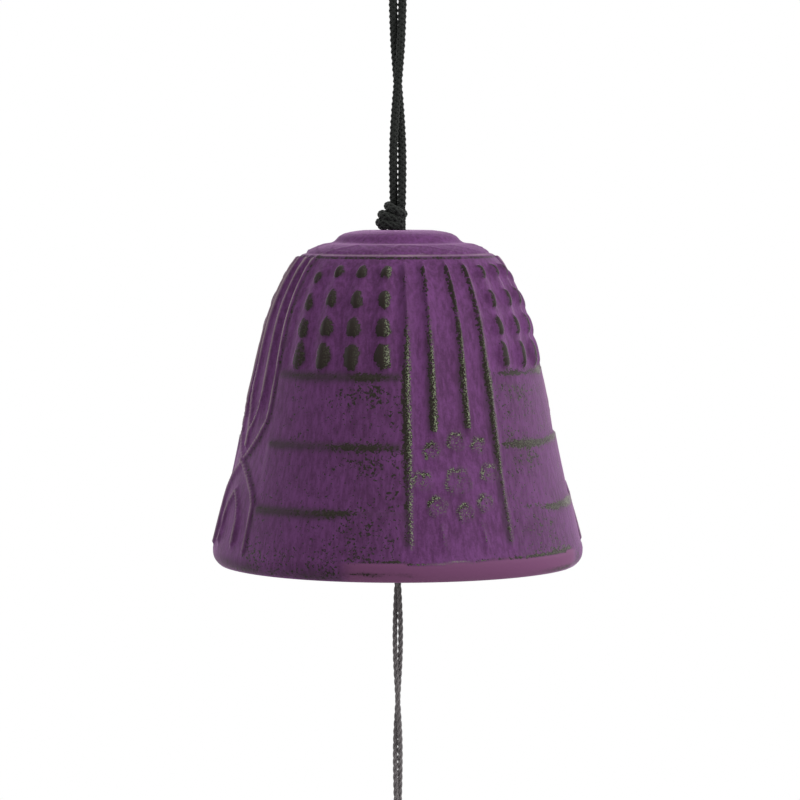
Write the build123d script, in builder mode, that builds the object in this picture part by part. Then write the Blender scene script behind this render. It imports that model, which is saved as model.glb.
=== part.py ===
"""A cast-iron wind bell hung from a doubled, twisted cord, with a round clapper and a paper strip.

Millimetres, +Z up. The origin is the inner top of the hanging loop, where a hook or nail carries it.
The bell's axis is the Z axis and its front faces -Y. Angles round the bell are in degrees from the
front, positive towards +X. Going down from the origin: loop, hanging cord, crown knot, bell, and inside
it the stopper knot, the clapper on its thin cord, and below the mouth the tail cord and the strip.
"""

from build123d import *
import os
from math import cos, radians, sin, tan

os.makedirs("parts", exist_ok=True)

# The bell casting
bell_r = 35.0
bell_h = 63.1
wall = 2.6
crown_t = 3.2
crown_hole_r = 2.4
lip_round = 1.5
lip_bevel = 0.6

# Raised ornament on the bell
ridge_w = 1.15
ridge_h = 0.5
nub_w = 2.4
nub_h = 0.6
nub_l = 4.7
nub_sink = 0.15
nub_taper_deg = 38.0
ledge_h = 0.35
relief_sink = 0.6

# The thick hanging cord and its knots
cord_d = 1.65
cord_sides = 8
loop_drop = 15.0
cord_run = 40.7
crown_knot_r = 2.75
crown_knot_h = 4.2
crown_knot_off = 1.2
neck_r = 1.75
stopper_r = 3.0
stopper_h = 3.2

# The thin cord and its knots
thin_d = 0.85
hitch_r = 1.7
hitch_h = 2.4
clapper_cord_run = 45.3
tail_run = 51.5
clapper_knot_r = 2.7
clapper_knot_h = 3.0
tail_knot_r = 1.5
tail_knot_h = 2.4
tie_r = 2.4

# The clapper, a flat round plate
clapper_r = 13.0
clapper_rim_t = 3.6
clapper_boss_r = 4.2
clapper_boss_t = 5.0
clapper_hole_r = 1.7
clapper_round = 1.0

# The paper strip
strip_w = 38.0
strip_l = 112.0
strip_t = 0.35
strip_hole_r = 1.6
strip_hole_edge = 2.6

# Running gaps: over a cord's swinging end, under a part that turns, and over the strip's tie
swing_gap = 0.65
thin_swing_gap = 0.5
turn_gap = 0.2
tie_gap = 0.15

# The bell's outline, going down and out, as shares of its radius and of its height
crown_edge_shares = ((0.250, 0.006), (0.312, 0.017), (0.337, 0.036))
tier_shares = ((0.400, 0.041), (0.455, 0.053), (0.492, 0.070))
bead_shares = ((0.513, 0.074), (0.524, 0.080))
side_shares = (
    (0.537, 0.084),
    (0.610, 0.143),
    (0.669, 0.212),
    (0.714, 0.287),
    (0.857, 0.650),
    (0.980, 0.925),
)
band_share = (0.987, 0.929)
lip_share = 0.965
lip_corner_share = 0.29
cavity_shares = ((0.560, 0.168), (0.423, 0.086), (0.310, 0.0))

# The ornament's layout. It repeats every half turn: a band of ridges, a plain panel with nubs, a band
# of nested pointed arches, and another panel. A ridge is (degrees from its band's middle, top share,
# foot share) and an arch is (degrees, share at its open end, share where it bends, share of its tip).
half_turn = 180.0
ridge_band_deg = 20.3
arch_band_deg = ridge_band_deg - 90.0
ridge_outer_deg = 16.4
ridge_inner_deg = 6.5
arch_outer_deg = 14.0
arch_inner_deg = 6.0
ridge_shares = ((ridge_outer_deg, 0.115, 0.915), (ridge_inner_deg, 0.115, 0.580))
arch_shares = (
    (arch_outer_deg, 0.115, 0.570, 0.675),
    (arch_inner_deg, 0.115, 0.540, 0.590),
    (arch_outer_deg, 0.915, 0.780, 0.678),
    (arch_inner_deg, 0.905, 0.810, 0.765),
)
nub_column_degs = (-19.05, -6.35, 6.35, 19.05)
nub_row_shares = ((0.119, 0.55), (0.198, 0.72), (0.279, 0.86), (0.360, 1.0))
ledge_shares = (0.414, 0.615, 0.802)
ledge_rise_share = 0.006
ledge_fall_share = 0.036

# The crown knot's turns: shares of its height, thickness, radius and offset, and the tilt in degrees
crown_turn_shares = (
    (0.22, 0.44, 1.05, 1.20, 4.0),
    (0.52, 0.44, 0.98, 1.00, -9.0),
    (0.80, 0.40, 0.86, 0.60, 0.0),
)
turn_bevel_share = 0.3

# Heights that follow from the sizes above, going down the cord
throat_z = -loop_drop
knot_top_z = throat_z - cord_run
crown_z = knot_top_z - crown_knot_h
stopper_top_z = crown_z - crown_t - turn_gap
stopper_z = stopper_top_z - stopper_h
hitch_top_z = stopper_z - turn_gap
hitch_z = hitch_top_z - hitch_h
clapper_z = hitch_z - clapper_cord_run
clapper_knot_z = clapper_z - clapper_knot_h
tail_knot_top_z = clapper_knot_z - tail_run - turn_gap
tail_knot_z = tail_knot_top_z - tail_knot_h
tie_z = tail_knot_z - tie_r
strip_hole_top_z = tie_z - tie_r + tie_gap
strip_top_z = strip_hole_top_z + strip_hole_edge
mouth_z = crown_z - bell_h

# The cords' routes, chosen by hand. The loop's is in the part's own frame, the legs' are measured from
# the point they swing about. The other leg of each pair is the same, turned half round.
loop_route = (
    (-0.87, 0.0, -15.0),
    (-1.80, 0.0, -11.2),
    (-4.30, 0.0, -6.6),
    (-5.00, 0.0, -1.9),
    (-2.30, 0.0, 0.825),
    (2.30, 0.0, 0.825),
    (5.00, 0.0, -1.9),
    (4.30, 0.0, -6.6),
    (1.80, 0.0, -11.2),
    (0.87, 0.0, -15.0),
)
hanging_leg_route = (
    (-0.914, -0.161, 0.0),
    (-0.734, 0.568, -8.2),
    (-0.098, 0.923, -16.3),
    (0.595, 0.712, -24.4),
    (0.920, 0.048, -32.6),
    (0.692, -0.619, -40.7),
)
clapper_leg_route = (
    (0.530, 0.147, 0.0),
    (0.138, 0.533, -15.1),
    (-0.392, 0.386, -30.2),
    (-0.530, -0.147, -45.3),
)
tail_leg_route = (
    (-0.498, -0.418, 0.0),
    (0.305, -0.574, -10.5),
    (0.631, 0.157, -21.0),
    (0.023, 0.650, -31.5),
    (-0.631, 0.157, -41.5),
    (-0.285, -0.584, -51.5),
)


def side_radius(share):
    """The radius of the bell's side at a share of its height below the crown."""
    for (r0, s0), (r1, s1) in zip(side_shares, side_shares[1:]):
        if share <= s1:
            break
    return bell_r * (r0 + (r1 - r0) * (share - s0) / (s1 - s0))


def on_side(points, out=0.0):
    """Outline points as (radius + out, height), from shares of the bell's radius and height."""
    return [(bell_r * r + out, crown_z - bell_h * share) for r, share in points]


def facing_plane(angle):
    """The upright plane through the axis that faces outwards at an angle, with its Y upwards."""
    turn = radians(angle)
    return Plane(origin=(0, 0, 0), x_dir=(cos(turn), sin(turn), 0), z_dir=(sin(turn), -cos(turn), 0))


def meridian_plane(angle):
    """The upright plane that holds the axis, with its X running outwards at an angle."""
    turn = radians(angle)
    return Plane(origin=(0, 0, 0), x_dir=(sin(turn), -cos(turn), 0), z_dir=(-cos(turn), -sin(turn), 0))


def surface_plane(angle, share):
    """The plane that touches the bell's side at an angle and a share of its height, with its Y upwards."""
    span_share = 0.02
    rise = 2 * span_share * bell_h
    spread = side_radius(share + span_share) - side_radius(share - span_share)
    slope = (rise**2 + spread**2) ** 0.5
    turn = radians(angle)
    r = side_radius(share)
    return Plane(
        origin=(r * sin(turn), -r * cos(turn), crown_z - share * bell_h),
        x_dir=(cos(turn), sin(turn), 0),
        z_dir=(rise / slope * sin(turn), -rise / slope * cos(turn), spread / slope),
    )


def upright_line(degrees_off, top, foot):
    """A line down the side at one angle: (degrees, share) at its ends and at the outline's own steps."""
    low, high = min(top, foot), max(top, foot)
    steps = [low, *(share for _, share in side_shares if low < share < high), high]
    return [(degrees_off, share) for share in (steps if top < foot else steps[::-1])]


def arch_line(degrees_off, open_end, bend, tip):
    """A pointed arch: up or down one side, over its tip, and back on the other side."""
    side = upright_line(degrees_off, open_end, bend)
    return [*side, (0.0, tip), *((-off, share) for off, share in reversed(side))]


def seen_straight_on(points):
    """Where a line drawn on the side lies as seen straight on, as (across, height)."""
    return [(side_radius(share) * sin(radians(off)), crown_z - share * bell_h) for off, share in points]


def corner_radii(points):
    """The radius of each corner of a cord: 0.45 of its shorter run, over the tangent of half its turn."""
    corners = [Vector(*p) for p in points]
    radii = []
    for before, here, after in zip(corners, corners[1:], corners[2:]):
        turn = radians((here - before).get_angle(after - here))
        radii.append(0.45 * min((here - before).length, (after - here).length) / tan(turn / 2))
    return radii


def hung_from(height, route, side=1):
    """A leg's route hung from a height on the axis. A side of -1 gives its twin, turned half round."""
    return [(side * x, side * y, height + z) for x, y, z in route]


def cord_tube(name, points, diameter):
    """A cord's solid: a tube along straight runs that arcs join. Prints its radii and volume."""
    radii = corner_radii(points)
    with BuildPart() as tube:
        with BuildLine() as path:
            FilletPolyline(*points, radius=radii)
        with BuildSketch(path.line ^ 0) as section:
            RegularPolygon(diameter / 2, cord_sides)
        sweep()
    length = path.wire().length
    expected = length * section.sketch.area
    print(
        f"{name}: length {length:.1f}, corner radii {min(radii):.1f} to {max(radii):.1f} mm,"
        f" volume {tube.part.volume:.2f} for a section times length of {expected:.2f} mm3"
    )
    return tube.part


def barrel(top, height, radius, bevel):
    """A plain tight knot or one turn of it: a round body, with both ends bevelled."""
    with BuildPart() as body:
        with BuildSketch(Plane.XZ):
            Polygon(
                (0, top),
                (radius - bevel, top),
                (radius, top - bevel),
                (radius, top - height + bevel),
                (radius - bevel, top - height),
                (0, top - height),
                align=None,
            )
        revolve(axis=Axis.Z)
    return body.part


def write(part, name):
    """Labels a finished piece and writes its file."""
    part.label = name
    export_step(part, f"parts/{name}.step")


# The bell's wall: one outline turned about the axis, with its crown boss, tier, bead, shoulder and lip
with BuildPart() as bell_wall:
    with BuildSketch(Plane.XZ):
        with BuildLine():
            side = on_side(side_shares)
            Polyline(
                (crown_hole_r, crown_z),
                *on_side((*crown_edge_shares, *tier_shares, *bead_shares)),
                *side,
                on_side([band_share])[0],
                (bell_r, crown_z - lip_share * bell_h),
                (bell_r, mouth_z + lip_round),
                (bell_r - lip_round * lip_corner_share, mouth_z + lip_round * lip_corner_share),
                (bell_r - lip_round, mouth_z),
                (bell_r - wall + lip_bevel, mouth_z),
                (bell_r - wall, mouth_z + lip_bevel),
                *((r - wall, z) for r, z in side[:2:-1]),
                *on_side(cavity_shares[:-1]),
                (bell_r * cavity_shares[-1][0], crown_z - crown_t),
                (crown_hole_r, crown_z - crown_t),
                (crown_hole_r, crown_z),
            )
        make_face()
    revolve(axis=Axis.Z)

# A thin skin over the side, from just inside the wall's face to the ridges' height
with BuildPart() as relief_skin:
    with BuildSketch(Plane.XZ):
        Polygon(*on_side(side_shares, ridge_h), *on_side(side_shares, -relief_sink)[::-1], align=None)
    revolve(axis=Axis.Z)

# Ridges and arches: lines drawn flat, carried on to the bell, and raised where they cross the skin
ridge_lines = [upright_line(side * off, top, foot) for off, top, foot in ridge_shares for side in (-1, 1)]
arch_lines = [arch_line(*arch) for arch in arch_shares]
with BuildPart() as ridges:
    for band_deg, lines in ((ridge_band_deg, ridge_lines), (arch_band_deg, arch_lines)):
        for angle in (band_deg, band_deg + half_turn):
            with BuildSketch(facing_plane(angle)):
                for line in lines:
                    with BuildLine():
                        Polyline(*seen_straight_on(line))
                    trace(line_width=ridge_w)
            extrude(amount=bell_r + ridge_h)
    add(relief_skin.part, mode=Mode.INTERSECT)

# Seed-shaped nubs, four columns of four to a panel, longer row by row down the side
panel_arc = 90.0 - ridge_outer_deg - arch_outer_deg
first_panel_deg = ridge_band_deg - ridge_outer_deg - panel_arc / 2
panel_degs = [
    first_panel_deg,
    first_panel_deg + half_turn,
    2 * ridge_band_deg - first_panel_deg,
    2 * ridge_band_deg - first_panel_deg + half_turn,
]
nub_rows = []
for _, length_share in nub_row_shares:
    half_l = nub_l * length_share / 2
    half_w = nub_w * (1 + length_share) / 4
    with BuildPart() as nub:
        with BuildSketch(Plane.XY.offset(-nub_sink)):
            Polygon((half_w, 0), (0, half_l), (-half_w, 0), (0, -half_l))
        extrude(amount=nub_h + nub_sink, taper=nub_taper_deg)
    nub_rows.append(nub.part)

with BuildPart() as nubs:
    for nub_solid, (share, _) in zip(nub_rows, nub_row_shares):
        places = [surface_plane(panel + column, share) for panel in panel_degs for column in nub_column_degs]
        with Locations(*places):
            add(nub_solid)

# Ledges: low steps across each panel, between the bands
with BuildPart() as ledges:
    for panel in panel_degs:
        for share in ledge_shares:
            top, edge, foot = share - ledge_rise_share, share + ledge_rise_share, share + ledge_fall_share
            with BuildSketch(meridian_plane(panel - panel_arc / 2)):
                Polygon(
                    (side_radius(top), crown_z - top * bell_h),
                    (side_radius(edge) + ledge_h, crown_z - edge * bell_h),
                    (side_radius(foot), crown_z - foot * bell_h),
                    (side_radius(edge) - relief_sink, crown_z - edge * bell_h),
                    align=None,
                )
            revolve(axis=Axis.Z, revolution_arc=panel_arc)

# The bell is one casting with all its ornament
with BuildPart() as bell:
    add(bell_wall.part)
    add(ridges.part)
    add(nubs.part)
    add(ledges.part)
write(bell.part, "bell")

# The hanging loop: the thick cord's bight, which lies open over its hook
loop_tube = cord_tube("hanging_loop", loop_route, cord_d)
with BuildPart() as hanging_loop:
    add(loop_tube)
    split(bisect_by=Plane.XY.offset(throat_z + swing_gap), keep=Keep.TOP)
write(hanging_loop.part, "hanging_loop")

# The hanging cord: the same cord's two legs, wound round each other, from the throat to the crown knot
for name, side in (("hanging_leg_left", 1), ("hanging_leg_right", -1)):
    write(cord_tube(name, hung_from(throat_z, hanging_leg_route, side), cord_d), name)

# The crown knot: turns of the doubled cord drawn tight beside the axis, and its neck through the crown
with BuildPart() as crown_knot:
    knot_base_z = crown_z + turn_gap
    knot_rise = knot_top_z - swing_gap - knot_base_z
    for height_share, thick_share, r_share, off_share, tilt in crown_turn_shares:
        turn_h = knot_rise * thick_share
        turn_body = barrel(turn_h / 2, turn_h, crown_knot_r * r_share, turn_h * turn_bevel_share)
        place = (-crown_knot_off * off_share, 0, knot_base_z + knot_rise * height_share)
        with Locations(Location(place, (0, tilt, 0))):
            add(turn_body)
    split(bisect_by=Plane.XY.offset(knot_base_z), keep=Keep.TOP)
    with Locations((0, 0, stopper_top_z)):
        Cylinder(neck_r, knot_base_z - stopper_top_z, align=(Align.CENTER, Align.CENTER, Align.MIN))
write(crown_knot.part, "crown_knot")

# The stopper knot, under the crown, carries the bell
write(barrel(stopper_top_z, stopper_h, stopper_r, cord_d / 2), "stopper_knot")

# The clapper's hitch: the thin cord tied under the stopper knot, free to turn
write(barrel(hitch_top_z, hitch_h - thin_swing_gap, hitch_r, thin_d / 2), "clapper_hitch")

# The clapper's cord, doubled like the rest, from the hitch to the knot under the clapper
for name, side in (("clapper_leg_left", 1), ("clapper_leg_right", -1)):
    write(cord_tube(name, hung_from(hitch_z, clapper_leg_route, side), thin_d), name)

# The clapper: a round cast plate, thicker at its middle, hung flat by a knot under its hole
with BuildPart() as clapper:
    boss_rise = (clapper_boss_t - clapper_rim_t) / 2
    with BuildSketch(Plane.XZ):
        Polygon(
            (clapper_hole_r, clapper_z),
            (clapper_boss_r, clapper_z),
            (clapper_boss_r + boss_rise, clapper_z + boss_rise),
            (clapper_r - clapper_round, clapper_z + boss_rise),
            (clapper_r, clapper_z + boss_rise + clapper_round),
            (clapper_r, clapper_z + clapper_boss_t - boss_rise - clapper_round),
            (clapper_r - clapper_round, clapper_z + clapper_boss_t - boss_rise),
            (clapper_boss_r + boss_rise, clapper_z + clapper_boss_t - boss_rise),
            (clapper_boss_r, clapper_z + clapper_boss_t),
            (clapper_hole_r, clapper_z + clapper_boss_t),
            align=None,
        )
    revolve(axis=Axis.Z)
write(clapper.part, "clapper")

# The knot under the clapper carries it, and the tail cord swings from it
write(barrel(clapper_z, clapper_knot_h - thin_swing_gap, clapper_knot_r, thin_d), "clapper_knot")

# The tail cord: two thin legs, down to the knot over the strip
for name, side in (("tail_leg_left", 1), ("tail_leg_right", -1)):
    write(cord_tube(name, hung_from(clapper_knot_z, tail_leg_route, side), thin_d), name)

# The tail knot and its tie, a ring of thin cord through the strip's hole
tail_knot_body = barrel(tail_knot_top_z, tail_knot_h, tail_knot_r, thin_d / 2)
with BuildPart() as tail_knot:
    add(tail_knot_body)
    with BuildSketch(Plane.XZ):
        with Locations((0, tie_z + tie_r + thin_d / 2)):
            RegularPolygon(thin_d / 2, cord_sides)
    revolve(axis=Axis((0, 0, tie_z), (1, 0, 0)))
write(tail_knot.part, "tail_knot")

# The paper strip hangs on the tie by its hole
with BuildPart() as strip:
    with BuildSketch(Plane.XZ):
        with Locations((0, strip_top_z - strip_l / 2)):
            Rectangle(strip_w, strip_l)
        with Locations((0, strip_hole_top_z - strip_hole_r)):
            Circle(strip_hole_r, mode=Mode.SUBTRACT)
    extrude(amount=strip_t / 2, both=True)
write(strip.part, "paper_strip")

print(f"bell volume {bell.part.volume:.0f} mm3, mouth at {mouth_z:.1f}, strip ends at {strip_top_z - strip_l:.1f}")
print(f"swing points: throat {throat_z:.2f}, knot top {knot_top_z:.2f}, hitch {hitch_z:.2f}")
print(f"swing points: clapper knot {clapper_knot_z:.2f}, tie {tie_z - tie_r:.2f}, turn points {hitch_top_z:.2f}")
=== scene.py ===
"""Dresses the cast-iron wind bell: its painted casting, cords, knots, clapper and paper strip.

Sizes in the classes are millimetres, as on a maker's drawing, and become metres when a mesh is made.
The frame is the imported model's own: +Z up, the origin at the inner top of the hanging loop, the front
towards -Y. Angles round the bell are degrees from the front, positive towards +X. A share is a part of
the bell's height, measured down from its crown.
"""

import logging
from dataclasses import dataclass
from enum import Enum

import bpy
import numpy as np
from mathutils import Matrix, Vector


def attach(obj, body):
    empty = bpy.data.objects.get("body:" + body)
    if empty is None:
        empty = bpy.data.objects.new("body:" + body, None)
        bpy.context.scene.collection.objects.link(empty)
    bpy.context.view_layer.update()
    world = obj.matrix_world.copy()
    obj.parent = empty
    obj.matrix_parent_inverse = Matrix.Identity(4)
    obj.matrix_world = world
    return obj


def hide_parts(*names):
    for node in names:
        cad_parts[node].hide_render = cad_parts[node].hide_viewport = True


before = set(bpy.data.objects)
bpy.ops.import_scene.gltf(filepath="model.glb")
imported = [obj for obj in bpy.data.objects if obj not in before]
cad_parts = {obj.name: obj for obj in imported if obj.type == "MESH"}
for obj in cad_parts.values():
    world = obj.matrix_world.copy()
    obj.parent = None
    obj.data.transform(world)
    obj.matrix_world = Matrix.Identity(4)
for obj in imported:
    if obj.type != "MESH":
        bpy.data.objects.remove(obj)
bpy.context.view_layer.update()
MM = 0.001

Point = tuple[float, float, float]
Station = tuple[float, float]

logging.basicConfig(level=logging.INFO, format="%(message)s")
log = logging.getLogger("wind_bell")


class Body(Enum):
    """The moving bodies of the frame."""

    LOOP = "loop"
    CORD = "cord"
    KNOTS = "knots"
    BELL = "bell"
    HITCH = "hitch"
    CLAPPER = "clapper"
    TAIL = "tail"
    TIE = "tie"
    STRIP = "strip"


class Slot(Enum):
    """The material slots of the record."""

    PAINTED_IRON = "painted_iron"
    CLAPPER_IRON = "clapper_iron"
    THICK_CORD = "thick_cord"
    THIN_CORD = "thin_cord"
    PAPER = "paper"


class LayUp(Enum):
    """How a cord is made from its strands."""

    BRAIDED = "braided"
    LAID = "laid"


# Meshes from whole arrays


def grid_faces(rows: int, columns: int, closed_rows: bool, closed_columns: bool) -> np.ndarray:
    """Quads of a grid whose vertices run row by row.

    Args:
        rows: number of rows of vertices.
        columns: number of vertices in a row.
        closed_rows: whether the last row joins the first.
        closed_columns: whether the last column joins the first.

    Returns:
        An array of faces, four vertex numbers each: (i, j), (i, j+1), (i+1, j+1), (i+1, j).
    """
    i = np.arange(rows if closed_rows else rows - 1)[:, None]
    j = np.arange(columns if closed_columns else columns - 1)[None, :]
    here, below = (i % rows) * columns, ((i + 1) % rows) * columns
    left, right = j % columns, (j + 1) % columns
    return np.stack([here + left, here + right, below + right, below + left], -1).reshape(-1, 4)


def make_mesh(name: str, points: np.ndarray, *face_sets: np.ndarray) -> bpy.types.Object:
    """A smooth-shaded mesh object in the scene.

    Args:
        name: the piece's name.
        points: vertices in millimetres, one row each.
        face_sets: arrays of vertex numbers, one face to a row, quads and triangles apart.

    Returns:
        The new object, at the origin, with its place in its mesh.
    """
    mesh = bpy.data.meshes.new(name)
    faces = [face for face_set in face_sets for face in face_set.tolist()]
    mesh.from_pydata((points.reshape(-1, 3) * MM).tolist(), [], faces)
    mesh.polygons.foreach_set("use_smooth", np.ones(len(mesh.polygons), bool))
    mesh.update()
    piece = bpy.data.objects.new(name, mesh)
    bpy.context.scene.collection.objects.link(piece)
    return piece


def set_attribute(piece: bpy.types.Object, name: str, values: np.ndarray) -> None:
    """Stores one number per vertex, which a material can read by that name."""
    layer = piece.data.attributes.new(name, "FLOAT", "POINT")
    layer.data.foreach_set("value", values.astype(np.float32).ravel())


def set_uv(piece: bpy.types.Object, uv: np.ndarray) -> None:
    """Stores a UV map.

    Args:
        piece: the mesh object.
        uv: one (u, v) for each of its vertices.
    """
    loops = np.zeros(len(piece.data.loops), np.int32)
    piece.data.loops.foreach_get("vertex_index", loops)
    layer = piece.data.uv_layers.new(name="UVMap")
    layer.data.foreach_set("uv", uv.reshape(-1, 2)[loops].astype(np.float32).ravel())


def place(piece: bpy.types.Object, body: Body, slot: Slot, finish: bpy.types.Material, *nodes: str) -> None:
    """Dresses a piece and ties it to the frame.

    Args:
        piece: the finished object.
        body: the body that it moves with.
        slot: the record's slot that it would take its finish from; not used.
        finish: its material.
        nodes: the CAD nodes that it stands for.
    """
    piece.data.materials.append(finish)
    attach(piece, body.value)
    if nodes:
        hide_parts(*nodes)
    log.info("%s: %d faces on %s", piece.name, len(piece.data.polygons), body.value)


def smoothstep(value: np.ndarray, low: float, high: float) -> np.ndarray:
    """3t^2 - 2t^3 of t, the value's place between low and high, held to 0..1."""
    t = np.clip((value - low) / (high - low), 0.0, 1.0)
    return t * t * (3.0 - 2.0 * t)


def bump(distance: np.ndarray, width: float) -> np.ndarray:
    """A soft crest: exp(-(distance / width)^2)."""
    return np.exp(-((distance / width) ** 2))


def wrapped(angle: np.ndarray, period: float) -> np.ndarray:
    """The angle less the nearest whole number of periods, so from minus half to plus half a period."""
    return (angle + period / 2) % period - period / 2


def run_of(line: np.ndarray) -> np.ndarray:
    """The distance travelled along a line of points, at each of them."""
    return np.concatenate([[0.0], np.cumsum(np.linalg.norm(np.diff(line, axis=0), axis=1))])


def sampled(line: np.ndarray, run: np.ndarray, places: np.ndarray) -> np.ndarray:
    """The points of a line, whose distances are run, at other distances along it."""
    return np.column_stack([np.interp(places, run, line[:, axis]) for axis in range(line.shape[1])])


def softened(line: np.ndarray, sigma: float) -> np.ndarray:
    """A closed line averaged along itself with the weight exp(-(n / sigma)^2 / 2).

    Args:
        line: the line's samples, evenly spaced.
        sigma: how wide the average is, in samples.

    Returns:
        The averaged line, as many samples long.
    """
    reach = int(4 * sigma)
    weight = np.exp(-((np.arange(-reach, reach + 1) / sigma) ** 2) / 2)
    padded = np.vstack([line[-reach:], line, line[:reach]])
    return np.column_stack([np.convolve(padded[:, k], weight / weight.sum(), "valid") for k in (0, 1)])


def spaced(density: np.ndarray, along: np.ndarray) -> np.ndarray:
    """Places along a line at which a running total of the density rises in equal steps of about 1.

    Args:
        density: how many places each unit of the line should have, at each sample.
        along: the samples' distances, rising.

    Returns:
        The distances of the places, with the line's end left out.
    """
    total = np.concatenate([[0.0], np.cumsum((density[1:] + density[:-1]) / 2 * np.diff(along))])
    count = int(round(total[-1]))
    return np.interp(np.linspace(0.0, total[-1], count, endpoint=False), total, along)


# Cords and knots

SPLINE_STEPS = 48
FEWEST_POINTS = 8
RING_POINTS = 120
SAME_PLACE = 1e-6
LEAST_FULLNESS = 0.02


@dataclass(frozen=True)
class Cordage:
    """One kind of cord: its thickness and how its strands lie.

    A strand's middle line is at radius rho from the cord's own line and goes round it once in a pitch. In a
    braid half the strands go each way, and rho rises and falls by weave as they pass over and under. Step
    is the distance between a strand's rings, sides is the number of corners of a ring, and core_radius is 0
    in a kind without a core.
    """

    diameter: float
    lay_up: LayUp
    strands: int
    strand_radius: float
    rho: float
    pitch: float
    weave: float = 0.0
    step: float = 0.16
    sides: int = 6
    core_radius: float = 0.0


def nurbs_line(name: str, points: np.ndarray) -> np.ndarray:
    """The smooth line of a route: a quadratic NURBS spline with the route's points as its controls.

    Args:
        name: a name for the curve while it is made.
        points: the control points in millimetres.

    Returns:
        Points along the spline in millimetres, read from the curve as a mesh.
    """
    data = bpy.data.curves.new(name, "CURVE")
    data.dimensions = "3D"
    data.resolution_u = SPLINE_STEPS
    spline = data.splines.new("NURBS")
    spline.points.add(len(points) - 1)
    controls = np.column_stack([points * MM, np.ones(len(points))])
    spline.points.foreach_set("co", controls.ravel())
    spline.order_u = 3
    spline.use_endpoint_u = True
    curve = bpy.data.objects.new(name, data)
    mesh = bpy.data.meshes.new_from_object(curve)
    line = np.zeros(len(mesh.vertices) * 3, np.float32)
    mesh.vertices.foreach_get("co", line)
    bpy.data.objects.remove(curve)
    bpy.data.meshes.remove(mesh)
    bpy.data.curves.remove(data)
    return line.reshape(-1, 3).astype(float) / MM


def evenly(line: np.ndarray, step: float) -> np.ndarray:
    """Points at equal distances along a line of points.

    Args:
        line: the line's points, where two may be the same.
        step: about how far apart the new points are.

    Returns:
        The new points, from the line's first to its last.
    """
    run = run_of(line)
    keep = np.concatenate([[True], np.diff(run) > SAME_PLACE])
    places = np.linspace(0.0, run[-1], max(FEWEST_POINTS, int(round(run[-1] / step))))
    return sampled(line[keep], run[keep], places)


def frames(line: np.ndarray, guide: np.ndarray) -> tuple[np.ndarray, np.ndarray]:
    """Two directions square to a line at each of its points, kept from turning by a guide direction.

    With T the line's direction, the first is the guide less its part along T, and the second is T x first.

    Args:
        line: points, along the last axis but one.
        guide: a direction that the line never follows, or one for each point.

    Returns:
        The two directions, each as an array of the line's shape.
    """
    along = np.gradient(line, axis=-2)
    along /= np.linalg.norm(along, axis=-1, keepdims=True)
    first = guide - (along * guide).sum(-1, keepdims=True) * along
    first /= np.linalg.norm(first, axis=-1, keepdims=True)
    return first, np.cross(along, first)


def drawn_out(line: np.ndarray, by: float) -> np.ndarray:
    """A line carried straight on at both its ends, so that a cord runs into what holds it.

    Args:
        line: the line's points.
        by: how far each end is carried.

    Returns:
        The line with one more point at each end.
    """
    head, tail = line[0] - line[1], line[-1] - line[-2]
    head, tail = (end * by / np.linalg.norm(end) for end in (head, tail))
    return np.vstack([line[0] + head, line, line[-1] + tail])


def nose(count: int, step: float, reach: float) -> np.ndarray:
    """How full a cord is along its length: 1, and down a quarter circle to 0 over each end's reach."""
    from_end = np.minimum(np.arange(count), np.arange(count)[::-1]) * step
    return np.sqrt(np.clip(1.0 - (1.0 - np.minimum(from_end / reach, 1.0)) ** 2, 0.0, 1.0))


def strand_lines(line: np.ndarray, guide: np.ndarray, cordage: Cordage, phase: float) -> np.ndarray:
    """The middle lines of a cord's strands.

    Strand k is at the angle 2 pi (z / pitch + k / n) + phase round the line, z being the distance along it.
    In a braid the odd strands turn the other way and the radius is rho +- weave cos(2 n pi z / pitch), so
    each strand passes over one strand and under the next.

    Args:
        line: evenly spaced points of the cord's own line.
        guide: the direction that angles are measured from.
        cordage: the kind of cord.
        phase: where the strands start round the line, in radians.

    Returns:
        An array of strands, points and coordinates.
    """
    first, second = frames(line, guide)
    step = np.linalg.norm(line[1] - line[0])
    z = np.arange(len(line)) * step / cordage.pitch
    k = np.arange(cordage.strands)[:, None]
    if cordage.lay_up is LayUp.BRAIDED:
        ways = np.where(k % 2 == 0, 1.0, -1.0)
        carriers = cordage.strands // 2
        angle = 2 * np.pi * (ways * z + (k // 2) / carriers) + phase
        rho = cordage.rho + ways * cordage.weave * np.cos(2 * np.pi * carriers * z)
    else:
        angle = 2 * np.pi * (z + k / cordage.strands) + phase
        rho = np.full(angle.shape, cordage.rho)
    rho = rho * nose(len(line), step, cordage.diameter / 2)
    return line + rho[..., None] * (np.cos(angle)[..., None] * first + np.sin(angle)[..., None] * second)


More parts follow.
